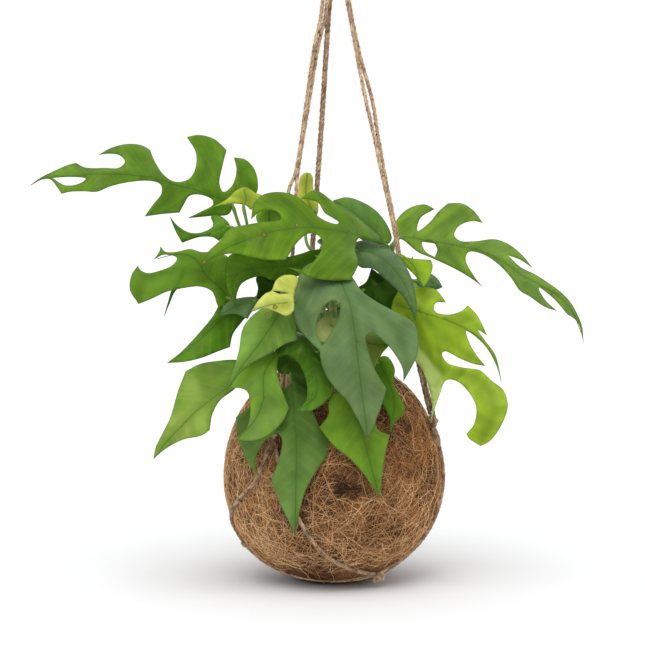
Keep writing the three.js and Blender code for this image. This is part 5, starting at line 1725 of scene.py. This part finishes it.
LEAVES = (
    LeafForm(
        "upper_left", Slot.GREEN, LeafFinish("446C10", "627F34", "5E8A1A"),
        outline="""28,187! 40,178 52,172 68,165 76,163! 85,167.5 105,168 119,167.7 125,161.5 119,155
    106,153.8 98.5,155! 111,148 128,144 142,145.5 150,150! 154.5,161 163,174 174,181.5
    187,180 194.5,171 196,153 187,137! 199,135 214,139 226.5,150! 222.5,166 219.5,184
    223.5,192 232,185.5 236.5,170 234,157.5! 245,159.5 254,168.5 258,183 256,194 245,200
    233,204! 229,214 210,216 187,218.3! 200,212 213,204.5 212,199.5 199,194.5 189.5,196
    183,206 179.5,212.5! 160,214.3 144.5,216.5! 153,204.5 161.5,193 160.5,184.5 151,181
    130,182 110,186.5 97,191.7 84,191.3 70,191.8 61.5,193.8! 57,187 50,179.3 38,180.5""",
        hole="52,177.6! 75,177 86,178.7 79,183.7 65,185.2",
        rib="""233,204 210,195 195,190 175,185 155,178.7 135,175.7 115,174.3 75,175.5 40,179.5
    28,187""",
        pins="""233,204,-10 210,195,-14 175,185,-24 135,176,-32 95,175,-38 28,187,-42 205,140,4
    120,148,-26 245,165,4 256,190,-4 150,214,-36 187,216,-28 80,164,-32 75,192,-44""",
        side_ribs="""195,190 206,170 207,145;152,178.5 142,162 126,151 106,154;222,200 242,188
    242,165;176,185 168,200 152,213;104,175 90,170 78,165;208,195 214,207 194,216""",
        petiole="243,236,-12 238,222,-13 233,204,-10",
    ),
    LeafForm(
        "left_fold", Slot.YELLOW, LeafFinish("9AAC34", "8AA034", "B0C04A"),
        outline="""213,207! 227,199 236,190.5 245,187 256,193 262,195.5 254,205 251,210 246,205.5
    232,203.7 224,205""",
        rib="243,206 246,200 244,190",
        pins="213,207,-30 232,197,-24 250,195,-20 262,195,-18 241,188,-20 240,205,-22",
        petiole="250,245,-11 247,224,-20 242,207,-22",
    ),
    LeafForm(
        "left_small", Slot.GREEN, LeafFinish("487818", "487818", "5E8C20"),
        outline="""169.5,216! 178,226 190,232.7 203,232 213,225.5 211,216 219,215.5 228,222 230,228
    219,241! 213,237.3 200,237 182,242.7! 175,230""",
        rib="229,226 219,229 205,235 190,235 178,229 169.5,216",
        pins="""229,226,-30 205,232,-35 190,235,-38 169.5,216,-38 182,242,-42 219,241,-34
    211,216,-30""",
        side_ribs="""205,235 212,222 216,217;190,235 184,240""",
        petiole="252,250,-11 241,232,-24 229,226,-30",
    ),
    LeafForm(
        "left_middle", Slot.GREEN, LeafFinish("4C7414", "628A2E", "668E1C"),
        outline="""215,252 201,252 190,249 177,251.7 165,251.5 160.5,246! 159.5,251 153.5,260!
    164,254.7 177,258 172.5,265 160,270.5 147,273 139.5,269 138,265.5! 131.5,275 130,290
    138.5,304! 150,299.5 167,291.7 184,288 200,286.6 212,291.5 219.5,308 230,299 232,290
    230,268 229,258""",
        rib="228,299 222,290 214,283 206,275 200,265 192,257 178,254 153.5,260",
        pins="""228,299,-48 214,283,-54 200,265,-60 178,254,-62 153.5,260,-64 138,304,-62
    131,275,-66 165,292,-58 200,287,-52 230,268,-44 208,251,-50""",
        side_ribs="""204,272 172,270 144,280 138,300;196,261 186,254 164,249""",
        petiole="272,277,-11 262,292,-28 245,303,-43 228,299,-48",
    ),
    LeafForm(
        "left_slim", Slot.DEEP, LeafFinish("365A08", "406A0E", "4C7610"),
        outline="""163.5,318.5! 168.5,300 172,289 180,279 192,271 206,268 214,272! 206,279 194,281
    176.5,290 169.5,304""",
        rib="213,272 196,275 180,283 170,299 163.5,318.5",
        pins="213,272,-30 196,275,-33 180,283,-38 163.5,318.5,-46 171,296,-41",
        petiole="262,262,-10 235,267,-20 213,272,-30",
    ),
    LeafForm(
        "left_lower", Slot.GREEN, LeafFinish("386608", "527C22", "56861A"),
        outline="""167,363! 181,352 199,333 213,316 219.5,305 230,299 245,306 249,312 241,323 233,334
    230,347! 217,351.8 202,357.7 185,361.7""",
        rib="246,311 225,318 205,335 185,352 167,363",
        pins="""246,311,-38 225,318,-42 205,335,-48 185,352,-54 167,363,-58 190,342,-50 217,310,-40
    231,339,-46 210,355,-54""",
        petiole="290,300,-12 270,305,-26 246,311,-38",
    ),
    LeafForm(
        "dark_arch", Slot.BLUE, LeafFinish("2E5404", "547C1C", "4A7A0A"),
        outline="""322,250 311,250.3 303,253 285,257 250,254 230,255 225,274 229,293 237,311! 236.5,296
    241,284.5 250,278.7 262,276.3 273,280.5 283,275 296,276.5 312,268 322,257""",
        rib="318,255 300,264 270,267 245,270 233,280 236,306",
        pins="""318,255,-56 300,263,-62 270,267,-68 245,268,-72 232,285,-70 236,308,-64 256,277,-66
    226,275,-68 290,275,-64""",
        petiole="322,275,-22 323,266,-42 318,255,-56",
    ),
    LeafForm(
        "grey_underside", Slot.BLUE, LeafFinish("52704A", "587652", "54743C"),
        outline="219,316! 225,304 237,298.5 258,298.5 247.5,319! 236,314",
        rib="256,300 240,305 221,314",
        pins="256,300,-54 240,305,-57 221,314,-56 247,318,-60",
        petiole="322,306,-24 290,306,-34 268,302,-46 256,300,-54",
    ),
    LeafForm(
        "yellow_curl", Slot.YELLOW, LeafFinish("A8B442", "BCC264", "CED474"),
        outline="""251,312! 258,301 266,293 271,291 277,279 289,274.7 298,278 294,294 293.5,311
    286,315.8 276,311.7 265,308.5""",
        hole="272.5,291! 280,291.4 288.5,293.4! 280,293.8",
        rib="287,303 275,304 262,307 251,312",
        pins="289,293,-108 289,275,-102 277,285,-112 266,300,-118 251,312,-116 288,314,-116",
        petiole="322,301,-24 306,296,-60 294,301,-94 287,303,-108",
        spots="275,307,2.2 272,292,1.4",
    ),
    LeafForm(
        "mid_left_hanging", Slot.GREEN, LeafFinish("5A7E2C", "709246", "769A3C"),
        outline="""226,390! 232,374 239,350 242,331 247,321.5 258,311 270,305 285,307 293,311
    297.7,340.7! 287,343.3 273,351.5 257,360.3 244,368.5""",
        rib="283,306 275,320 262,340 245,362 226,390",
        pins="""283,306,-94 275,320,-102 262,340,-107 245,362,-107 226,390,-102 242,331,-98
    297,335,-95 258,360,-105 294,315,-92""",
        petiole="322,312,-24 302,307,-66 283,306,-94",
        spots="267,314,2.0",
    ),
    LeafForm(
        "lower_left", Slot.GREEN, LeafFinish("3C6416", "9EB254", "588220"),
        outline="""153.5,459! 155.5,448 170,418 178,391 185.5,371.5! 200,364 217,361 237,360 248,364
    246,373 235,388.5 220,400.5 212.5,414 209.7,430! 202,435.3 182,440 165,449.3""",
        rib="246,371 232,384 215,397 198,410 180,428 165,444 153.5,459",
        pins="""246,371,-62 215,397,-76 180,428,-88 153.5,459,-95 185.5,371.5,-66 226,361,-56
    210,429,-92 235,388,-72 170,418,-84""",
        petiole="328,364,-18 292,364,-30 265,367,-48 246,371,-62",
    ),
    LeafForm(
        "centre_left", Slot.DEEP, LeafFinish("4C7610", "7C9C50", "709820"),
        outline="""235,440! 244,432.5 249.5,419 250,402 247,391.3 238,388 229,389! 237,376.5 250,364.5
    266,356 280,349 286,350 279.5,355.5 276.7,368 279.5,382.5 289,408! 283.5,420.5
    270.5,433.5 255,440.3""",
        rib="283,351 272,360 264,375 263,400 255,420 236,440",
        pins="""283,351,-88 272,360,-93 264,375,-96 263,400,-97 255,420,-95 236,440,-88 229,389,-90
    288,408,-94 270,432,-94""",
        side_ribs="""263,398 279,402 287,408""",
        petiole="324,340,-23 302,346,-60 283,351,-88",
    ),
    LeafForm(
        # Its foot is painted near black-green: painted shade under the leaves above it.
        "over_ball", Slot.GREEN, LeafFinish("20400C", "70904C", "567A2C"),
        outline="""295,534.5! 287,518 277.5,497.5 271,481! 276,468 281,451 282,440 277.5,433 268.5,438
    259,450 255,463.5 259.5,477.5! 250,465 242.5,451 238,436 236,417! 246,410 257,398
    268,388 281,388.5 289,386 292,380 289,374.5 279,373 275.5,362 280,354.5
    291,353.5 301,357.5 307,368 310,390 313,411 323,432 330.5,441 327,455 317,470
    305.5,491 299,515""",
        rib="290,372 293,400 296,440 296,480 295,534",
        pins="""290,372,-78 293,400,-84 296,440,-88 296,480,-86 295,534,-70 238,430,-72 258,475,-78
    328,445,-82 272,484,-84 257,400,-80 305,491,-85""",
        side_ribs="""294,428 262,424 254,440 258,472;295,436 318,432 328,441""",
        petiole="326,352,-20 306,362,-48 290,372,-78",
    ),
    LeafForm(
        # Its foot, at the top of the curl, is painted nearly black: painted shade where the curl turns
        # over.
        "centre_curl", Slot.DEEP, LeafFinish("102A00", "5E8C2A", "386A06"),
        outline="""296,411! 310,411 323,403.5 333,391.5 332,378 325,362 318,349 308,337 295,334
    283,340 275,349 277,355 287,354.5 298.5,363 306,380 306,400""",
        rib="318,353 308,350 314,368 316,395 298,410",
        pins="""318,353,-92 300,345,-97 279,352,-100 310,370,-98 322,370,-96 318,395,-97 298,410,-94
    331,390,-95 296,335,-85 283,342,-91""",
        petiole="323,329,-24 329,344,-62 318,353,-92",
    ),
    LeafForm(
        "centre_right", Slot.GREEN, LeafFinish("567A1C", "5C8228", "6C9024"),
        outline="""379.5,498! 372.5,487 361,470.5 348,457 333,445 319,427.5! 328.5,414 328.5,402
    335,391 345,385 358,385 372,394 381,407 375.5,419 378,429.5 390,435! 385.5,452
    382,476""",
        rib="350,388 355,410 364,440 372,470 379.5,498",
        pins="""350,388,-84 355,410,-90 364,440,-91 372,470,-88 379.5,498,-78 320,428,-92
    345,452,-92 389,436,-84 380,407,-84""",
        side_ribs="""352,400 346,424 324,428;358,424 378,428 388,434""",
        petiole="344,378,-4 345,370,-36 347,373,-66 350,388,-84",
    ),
    LeafForm(
        "centre_front", Slot.BLUE, LeafFinish("526E48", "667E52", "5E7A42"),
        outline="""368,440! 357.5,419 347.5,401.5 336,389 326,375.5 320.3,358 320,351! 307,338.5
    297,325 293.3,306 296,286 303,268 318,261 335,262 352,277 362,291 378,302.5
    402,315.3 414.5,324 418.5,340 416.5,356.5 403.5,381.5! 402.7,369 395,354.5 384.5,342
    373,333.5 366,335.5 367,346 374.7,369 386.5,388.5! 382.5,402.5 375.5,421""",
        hole="""322,346! 316.3,331 318,318 324.5,305.5 333.5,300.5 340,306.5 337.5,319.5 331.5,331""",
        rib="333,264 342,285 350,305 355,335 359,370 364,410 368,440",
        pins="""333,264,-72 342,285,-90 350,305,-104 355,335,-110 359,370,-112 364,410,-111
    368,440,-105 295,305,-102 305,272,-82 320,345,-108 335,385,-109 418,340,-98
    403,380,-99 385,388,-107 380,303,-98 356,285,-88 380,400,-108""",
        side_ribs="""344,288 370,305 397,332 409,365;340,280 314,276 303,304 312,335;356,340 372,352
    383,380""",
        petiole="322,290,-23 327,276,-46 333,264,-72",
        spots="368,441,5.0",
    ),
    LeafForm(
        "right_small", Slot.GREEN, LeafFinish("446E10", "4E7818", "547E16"),
        outline="""378,358 387,356.5 394.8,368.5 393.5,384 401,398 404.3,412 396.5,419.5 389.7,434!
    389.3,418 383.5,406 376,390 374,369""",
        rib="377,361 387,378 394,400 390,432",
        pins="377,361,-52 390,365,-56 394,400,-64 402,412,-63 390,432,-71 380,395,-62",
        petiole="359,336,-8 368,348,-30 377,361,-52",
    ),
    LeafForm(
        "top_big", Slot.GREEN, LeafFinish("466810", "527618", "5C8212"),
        outline="""201.5,264! 208,252 219.5,241 229,229 245,225 262,222 281,219 277,212 262,210.5
    251,219.5! 253.5,205 262,195.3 279,192 296,196 309,206.5 319.5,217.5 336,224
    339,222.5 324.5,212.5 318,202.5 301,198.3! 315,190.3 335,203 352,214 369,227.5
    384,241 390,246.5! 378,242 359,238 355.3,249 358.5,263 351,279.7! 331,280.3 311,277
    289,267.7! 303.5,269 314,261 322.8,243.5 317.5,235 309,233.5 299,240.5 285.5,260!
    268,260 251,257 236,253.8 221,255""",
        rib="""388,244.5 370,238 350,233.5 330,230 310,228 290,229 270,232.5 250,239 230,247
    215,255 202,263""",
        pins="""388,244.5,-19 370,238,-34 350,233.5,-46 330,230,-56 310,228,-63 290,229,-69
    270,232,-75 250,239,-81 230,247,-86 202,263,-92 305,198,-50 262,197,-60 345,208,-34
    250,222,-76 340,280,-98 300,272,-100 356,245,-54 358,263,-80 285,262,-92""",
        side_ribs="""345,233 352,247 343,265 322,274;352,234 336,217 308,197;296,229 288,208
    266,202;272,232 262,245 268,258""",
        petiole="390,254,-7 389,250,-13 388,244.5,-19",
        spots="264,235,2.2 328,270,2.4 297,225,1.8 204,262,2.8",
    ),
    LeafForm(
        "behind_top", Slot.DEEP, LeafFinish("46741E", "5C7A4A", "588820"),
        outline="""333,200.5! 346,197.3 360,201 376,210.7 387.5,225.5 391.7,239 388,244 375,245 355,235
    340,215""",
        rib="386,242 370,226 350,210 333,200.5",
        pins="386,242,4 370,226,8 350,210,10 333,200.5,10 388,225,12 375,245,0",
        petiole="388,259,-7 385,252,1 386,242,4",
    ),
    LeafForm(
        "drooping", Slot.BLUE, LeafFinish("4E6A48", "4E6648", "547040"),
        outline="""415.7,321.5! 409,306 398,291 385,279 373,268.8 360,267 352,254 354,244 362,240.5
    378,244 387,248 394,252 400.5,258.5 407,268.5 412.5,281 417,307""",
        rib="355,250 372,253 390,265 405,285 412,305 415.7,321.5",
        pins="""355,250,-32 368,242,-26 387,248,-24 372,254,-34 391,265,-48 405,285,-62 415,319,-74
    378,273,-46 360,265,-38 407,269,-54""",
        petiole="322,264,-20 338,257,-26 355,250,-32",
    ),
    LeafForm(
        "upper_right", Slot.GREEN, LeafFinish("5A7E28", "627E46", "709424"),
        outline="""583.6,344! 578.5,324 572,317 567.7,314.7! 553,298 538.7,287.5 544.5,299 557,311!
    545,307 530,296.7 520,290.7 510,276.5 496,262.3 481,253.5 468.5,252 465.7,260
    476.5,279.5 483,287! 468,276.3 452,267.3 431,257.7 418,252 403,240 396,237 393,228
    400,215.5 410,207.7 424.5,204.4 434.7,209! 420.3,218.3 417.5,231 430,222 438.5,211.5
    448,203.3! 462,203.5 474,211 482.7,222.7! 471,221.2 458.5,226.5 454.3,235 460,240.8
    475,241.3 495,239.3 510,245 524,257 532.5,268! 520,259.7 508,255.3! 520.5,267
    535,274.3 549,283.3 563,294 571,303 577,313.5 582,326""",
        hole="422,242 433,242.3 437.3,250 434.7,257! 425.5,251.5",
        rib="""399,236 420,239.5 445,243.5 465,247.5 485,252.5 503,262 520,274 540,285 558,296
    572,311 582.5,336""",
        pins="""399,236,2 420,239.5,3 445,243.5,1 485,252.5,-10 520,274,-24 558,296,-36
    582.5,336,-42 430,206,14 462,204,8 400,215,8 437,258,-6 480,285,-22 532,262,-20
    575,312,-40 508,256,-14""",
        side_ribs="""418,239 406,226 426,208;443,243 448,223 475,214;466,247 500,247 528,264;432,242
    452,262 480,284;505,263 532,288 554,308""",
        petiole="392,246,-6 396,241,-1 399,236,2",
    ),
    LeafForm(
        "right_yellow", Slot.LIGHT, LeafFinish("7C9A1C", "84A02E", "98B628", "B8CC7E"),
        outline="""502,384.5! 496.5,366 487.5,349 476.5,336 466.3,330.7 469,342 477.5,356.5 485.5,366!
    474,364 461,359 445,351.3 442,353.5 447,362.5 460,367 474,369 480,370.3 492,381
    503.5,390.5 507.8,406 501.5,425 490,441 480.5,446! 469.5,439 466.3,434! 474,424
    476.2,407 469,392.5 457,381.3 446.3,380.3 439.3,396 431,421! 432,404 428.5,387
    420,366 413.5,359.7! 416,352 405,340 395,322 391.7,305 398,292 405,288.5 423,287
    436,289.7 446,302.3! 435.5,303 435,311.3 447.5,314.7 461.5,311 467.7,305.3! 477,315
    487.3,335.5! 478,330 485,340.5 495.5,355.5""",
        rib="397,305 420,312 440,318 458,325 474,334 488,348 498,366 502,384.5",
        pins="""397,305,-38 420,312,-44 440,318,-46 458,325,-46 474,334,-44 488,348,-42 502,384,-44
    430,289,-36 467,306,-38 425,350,-50 445,365,-54 475,400,-58 507,400,-56 482,444,-64
    432,418,-58 415,358,-48""",
        side_ribs="""418,311 432,296 444,300;440,318 462,316 484,333;424,318 450,343 483,364;414,318
    436,366 480,380 494,408 482,440;408,315 424,366 431,412""",
        petiole="368,312,-8 383,320,-18 395,317,-32 397,305,-38",
        flap="400,322 417,340 430,357 444,374 450,400 436,440 380,430 380,320",
    ),
    LeafForm(
        "right_bright", Slot.LIGHT, LeafFinish("74961A", "74961A", "86A81E"),
        outline="""423,288.5! 416,277 404.5,265 398,256 401,254 408,257.7 431,260! 432.7,266 429,279.5""",
        rib="400,256 412,264 423,288",
        pins="400,256,-29 412,264,-34 423,288,-44 431,260,-34 431,273,-40",
        petiole="389,260,-7 391,257,-22 400,256,-29",
    ),
    LeafForm(
        "grey_behind", Slot.BLUE, LeafFinish("4C6A4A", "587458", "4C6A4A"),
        outline="442.7,287! 436.5,277.5 425,272 418,276 416,283 422,288 431,289 437,289.5",
        rib="418,281 430,282 442,287",
        pins="418,281,-8 430,280,-7 442,287,-10 428,289,-10",
        petiole="382,280,-7 400,280,-6 418,281,-8",
    ),
    LeafForm(
        "new_upright", Slot.YELLOW, LeafFinish("AEB83C", "B6C048", "C2CC54"),
        outline="""297,203 298.3,190 300.5,177 304,173.3 309,172.6 312.3,176 313.5,190 318,203 317,214
    308,208""",
        rib="313,212 306,195 307,174",
        pins="313,212,12 306,195,10 307,174,8 298,195,8",
        petiole="323,258,-18 308,246,-8 306,228,2 313,212,12",
    ),
    LeafForm(
        "notch_bright", Slot.YELLOW, LeafFinish("70A028", "78A634", "86B23A"),
        outline="256,216 262,210 270,209 278,212 282,219 280,226 270,232 260,226",
        rib="270,230 269,210",
        pins="270,230,-48 269,210,-50 258,216,-52 281,219,-52",
        petiole="258,258,-11 266,242,-32 270,230,-48",
    ),
    LeafForm(
        "shaded_right", Slot.DEEP, LeafFinish("1E4008", "264C0C", "264C0C"),
        outline="""371.5,268! 388,281 398,290.5! 396,300 393,312! 384,306 374,300 362,294 358,288
    366,282""",
        rib="361,290 375,290 394,310",
        pins="361,290,-30 375,290,-32 394,310,-30 398,291,-31 372,270,-28",
        petiole="368,310,-8 362,302,-20 361,290,-30",
    ),
    LeafForm(
        # Its foot is painted pale: painted light where it lies in the shade behind centre_front.
        "olive", Slot.LIGHT, LeafFinish("D2DA8C", "506E08", "7C9620"),
        outline="""316,341 315,331 318,321 328,316 340,321 352,327 366,332 380,333 389.5,345.5!
    383,352.5 374.5,367.5! 364,362 352,350 335,343""",
        rib="330,325 353,336 368,343 388,346",
        pins="""353,343,-78 368,346,-82 388,346,-82 375,366,-86 318,336,-82 330,320,-78
    352,328,-76""",
        petiole="323,326,-23 331,328,-48 330,325,-78",
    ),
    LeafForm(
        "shaded_left", Slot.DEEP, LeafFinish("1C3C0A", "244410", "24440E"),
        outline="256,278 262,272 274,270 283,276 283,290 276,298 266,301 257,298 258,288",
        rib="280,288 268,284 259,280",
        pins="280,288,-35 268,284,-39 259,280,-41 268,300,-40",
        petiole="284,294,-12 283,291,-26 280,288,-35",
    ),
)


@dataclass(frozen=True)
class FarLeaf:
    """A leaf of the far side: a front leaf's form, turned round the ball's axis and moved."""

    name: str
    form: str  # the name of the front leaf that it takes its form from
    turn: float  # degrees
    move: tuple  # mm
    share: float  # where its petiole leaves the back stem, as a share of the stem's length

    # Its petiole's bend: how far along it is, and how far above both ends, mm.
    BEND_SHARE = 0.55
    BEND_HIGH = 6
    SEED = 100

    def build(self, stem: Stem, seed: int) -> None:
        """The leaf on its stem.

        Args:
            stem: the stem that it grows on.
            seed: its number, which starts the waves of its margin.
        """
        form = next(each for each in LEAVES if each.name == self.form)
        angle = math.radians(self.turn)
        matrix = np.eye(4)
        matrix[:2, :2] = [[math.cos(angle), -math.sin(angle)], [math.sin(angle), math.cos(angle)]]
        matrix[:3, 3] = np.array(self.move) * MM
        line = stem.line
        way = arc_lengths(line)
        start = np.array([np.interp(self.share * way[-1], way, line[:, k]) for k in range(3)])
        foot = PICTURE.places(form.petiole)[-1] @ matrix[:3, :3].T + matrix[:3, 3]
        crown = start + (foot - start) * self.BEND_SHARE
        crown[2] = max(start[2], foot[2]) + self.BEND_HIGH * MM
        shape = LeafShape(form, self.SEED + seed, matrix, np.vstack([start, crown, foot]))
        shape.build(f"far_leaf_{self.name}", f"leaf_back_{self.name}")


FAR_LEAVES = (
    FarLeaf("over_ball", "over_ball", 205, (0, 0, -4), 0.15),
    FarLeaf("centre", "centre_front", 172, (-20, 0, -22), 0.62),
    FarLeaf("left", "centre_left", 246, (0, 0, -4), 0.3),
    FarLeaf("right", "centre_right", 170, (0, 0, 46), 0.53),
    FarLeaf("hanging", "mid_left_hanging", 178, (0, 0, -14), 0.45),
    FarLeaf("upper", "left_middle", 216, (-10, -56, -16), 0.6),
    FarLeaf("low", "right_small", 140, (0, 0, 0), 0.38),
    FarLeaf("arching", "drooping", 132, (4, 8, 2), 0.85),
)


# Coconut husk pressed with a natural binder: dull and tangled, brown with straw and dark fibres,
# the deeper fibres and the wall under them painted darker as shade.
COIR = FibreFinish("34200F", "C88E58", "FFD6A2", 0.9, 38.0, 0.1).material("pressed_coconut_coir")
# Bast fibre twisted by hand: matt tan yarns with dark flecks and a faint silky fuzz.
JUTE = FibreFinish("4A3524", "A88766", "DEC4A0", 0.7, 2.8, 0.18, 0.25).material("twisted_jute_twine")
# Coir chips and bark, damp: nearly black between the crumbs, with a few light chips to catch the eye.
SOIL = SoilFinish().material("damp_coir_potting_mix")
# A living vine's rind: smooth, quiet green between the leaves, ringed with brown at every joint.
STEM = StemFinish().material("green_vine_rind")


def main() -> None:
    """Builds the stage and then the plant, cords first."""
    logging.basicConfig(level=logging.INFO, format="%(message)s")
    studio = Studio()
    studio.camera()
    Hanger().build()
    studio.light()
    studio.floor()
    BALL.build()
    Soil().build()
    for stem in STEMS:
        stem.build()
    for seed, form in enumerate(LEAVES):
        LeafShape(form, seed).build(f"blade_{form.name}", f"leaf_{form.name}")
    back = next(stem for stem in STEMS if stem.name == "back")
    for seed, leaf in enumerate(FAR_LEAVES):
        leaf.build(back, seed)


if __name__ == "__main__":
    main()
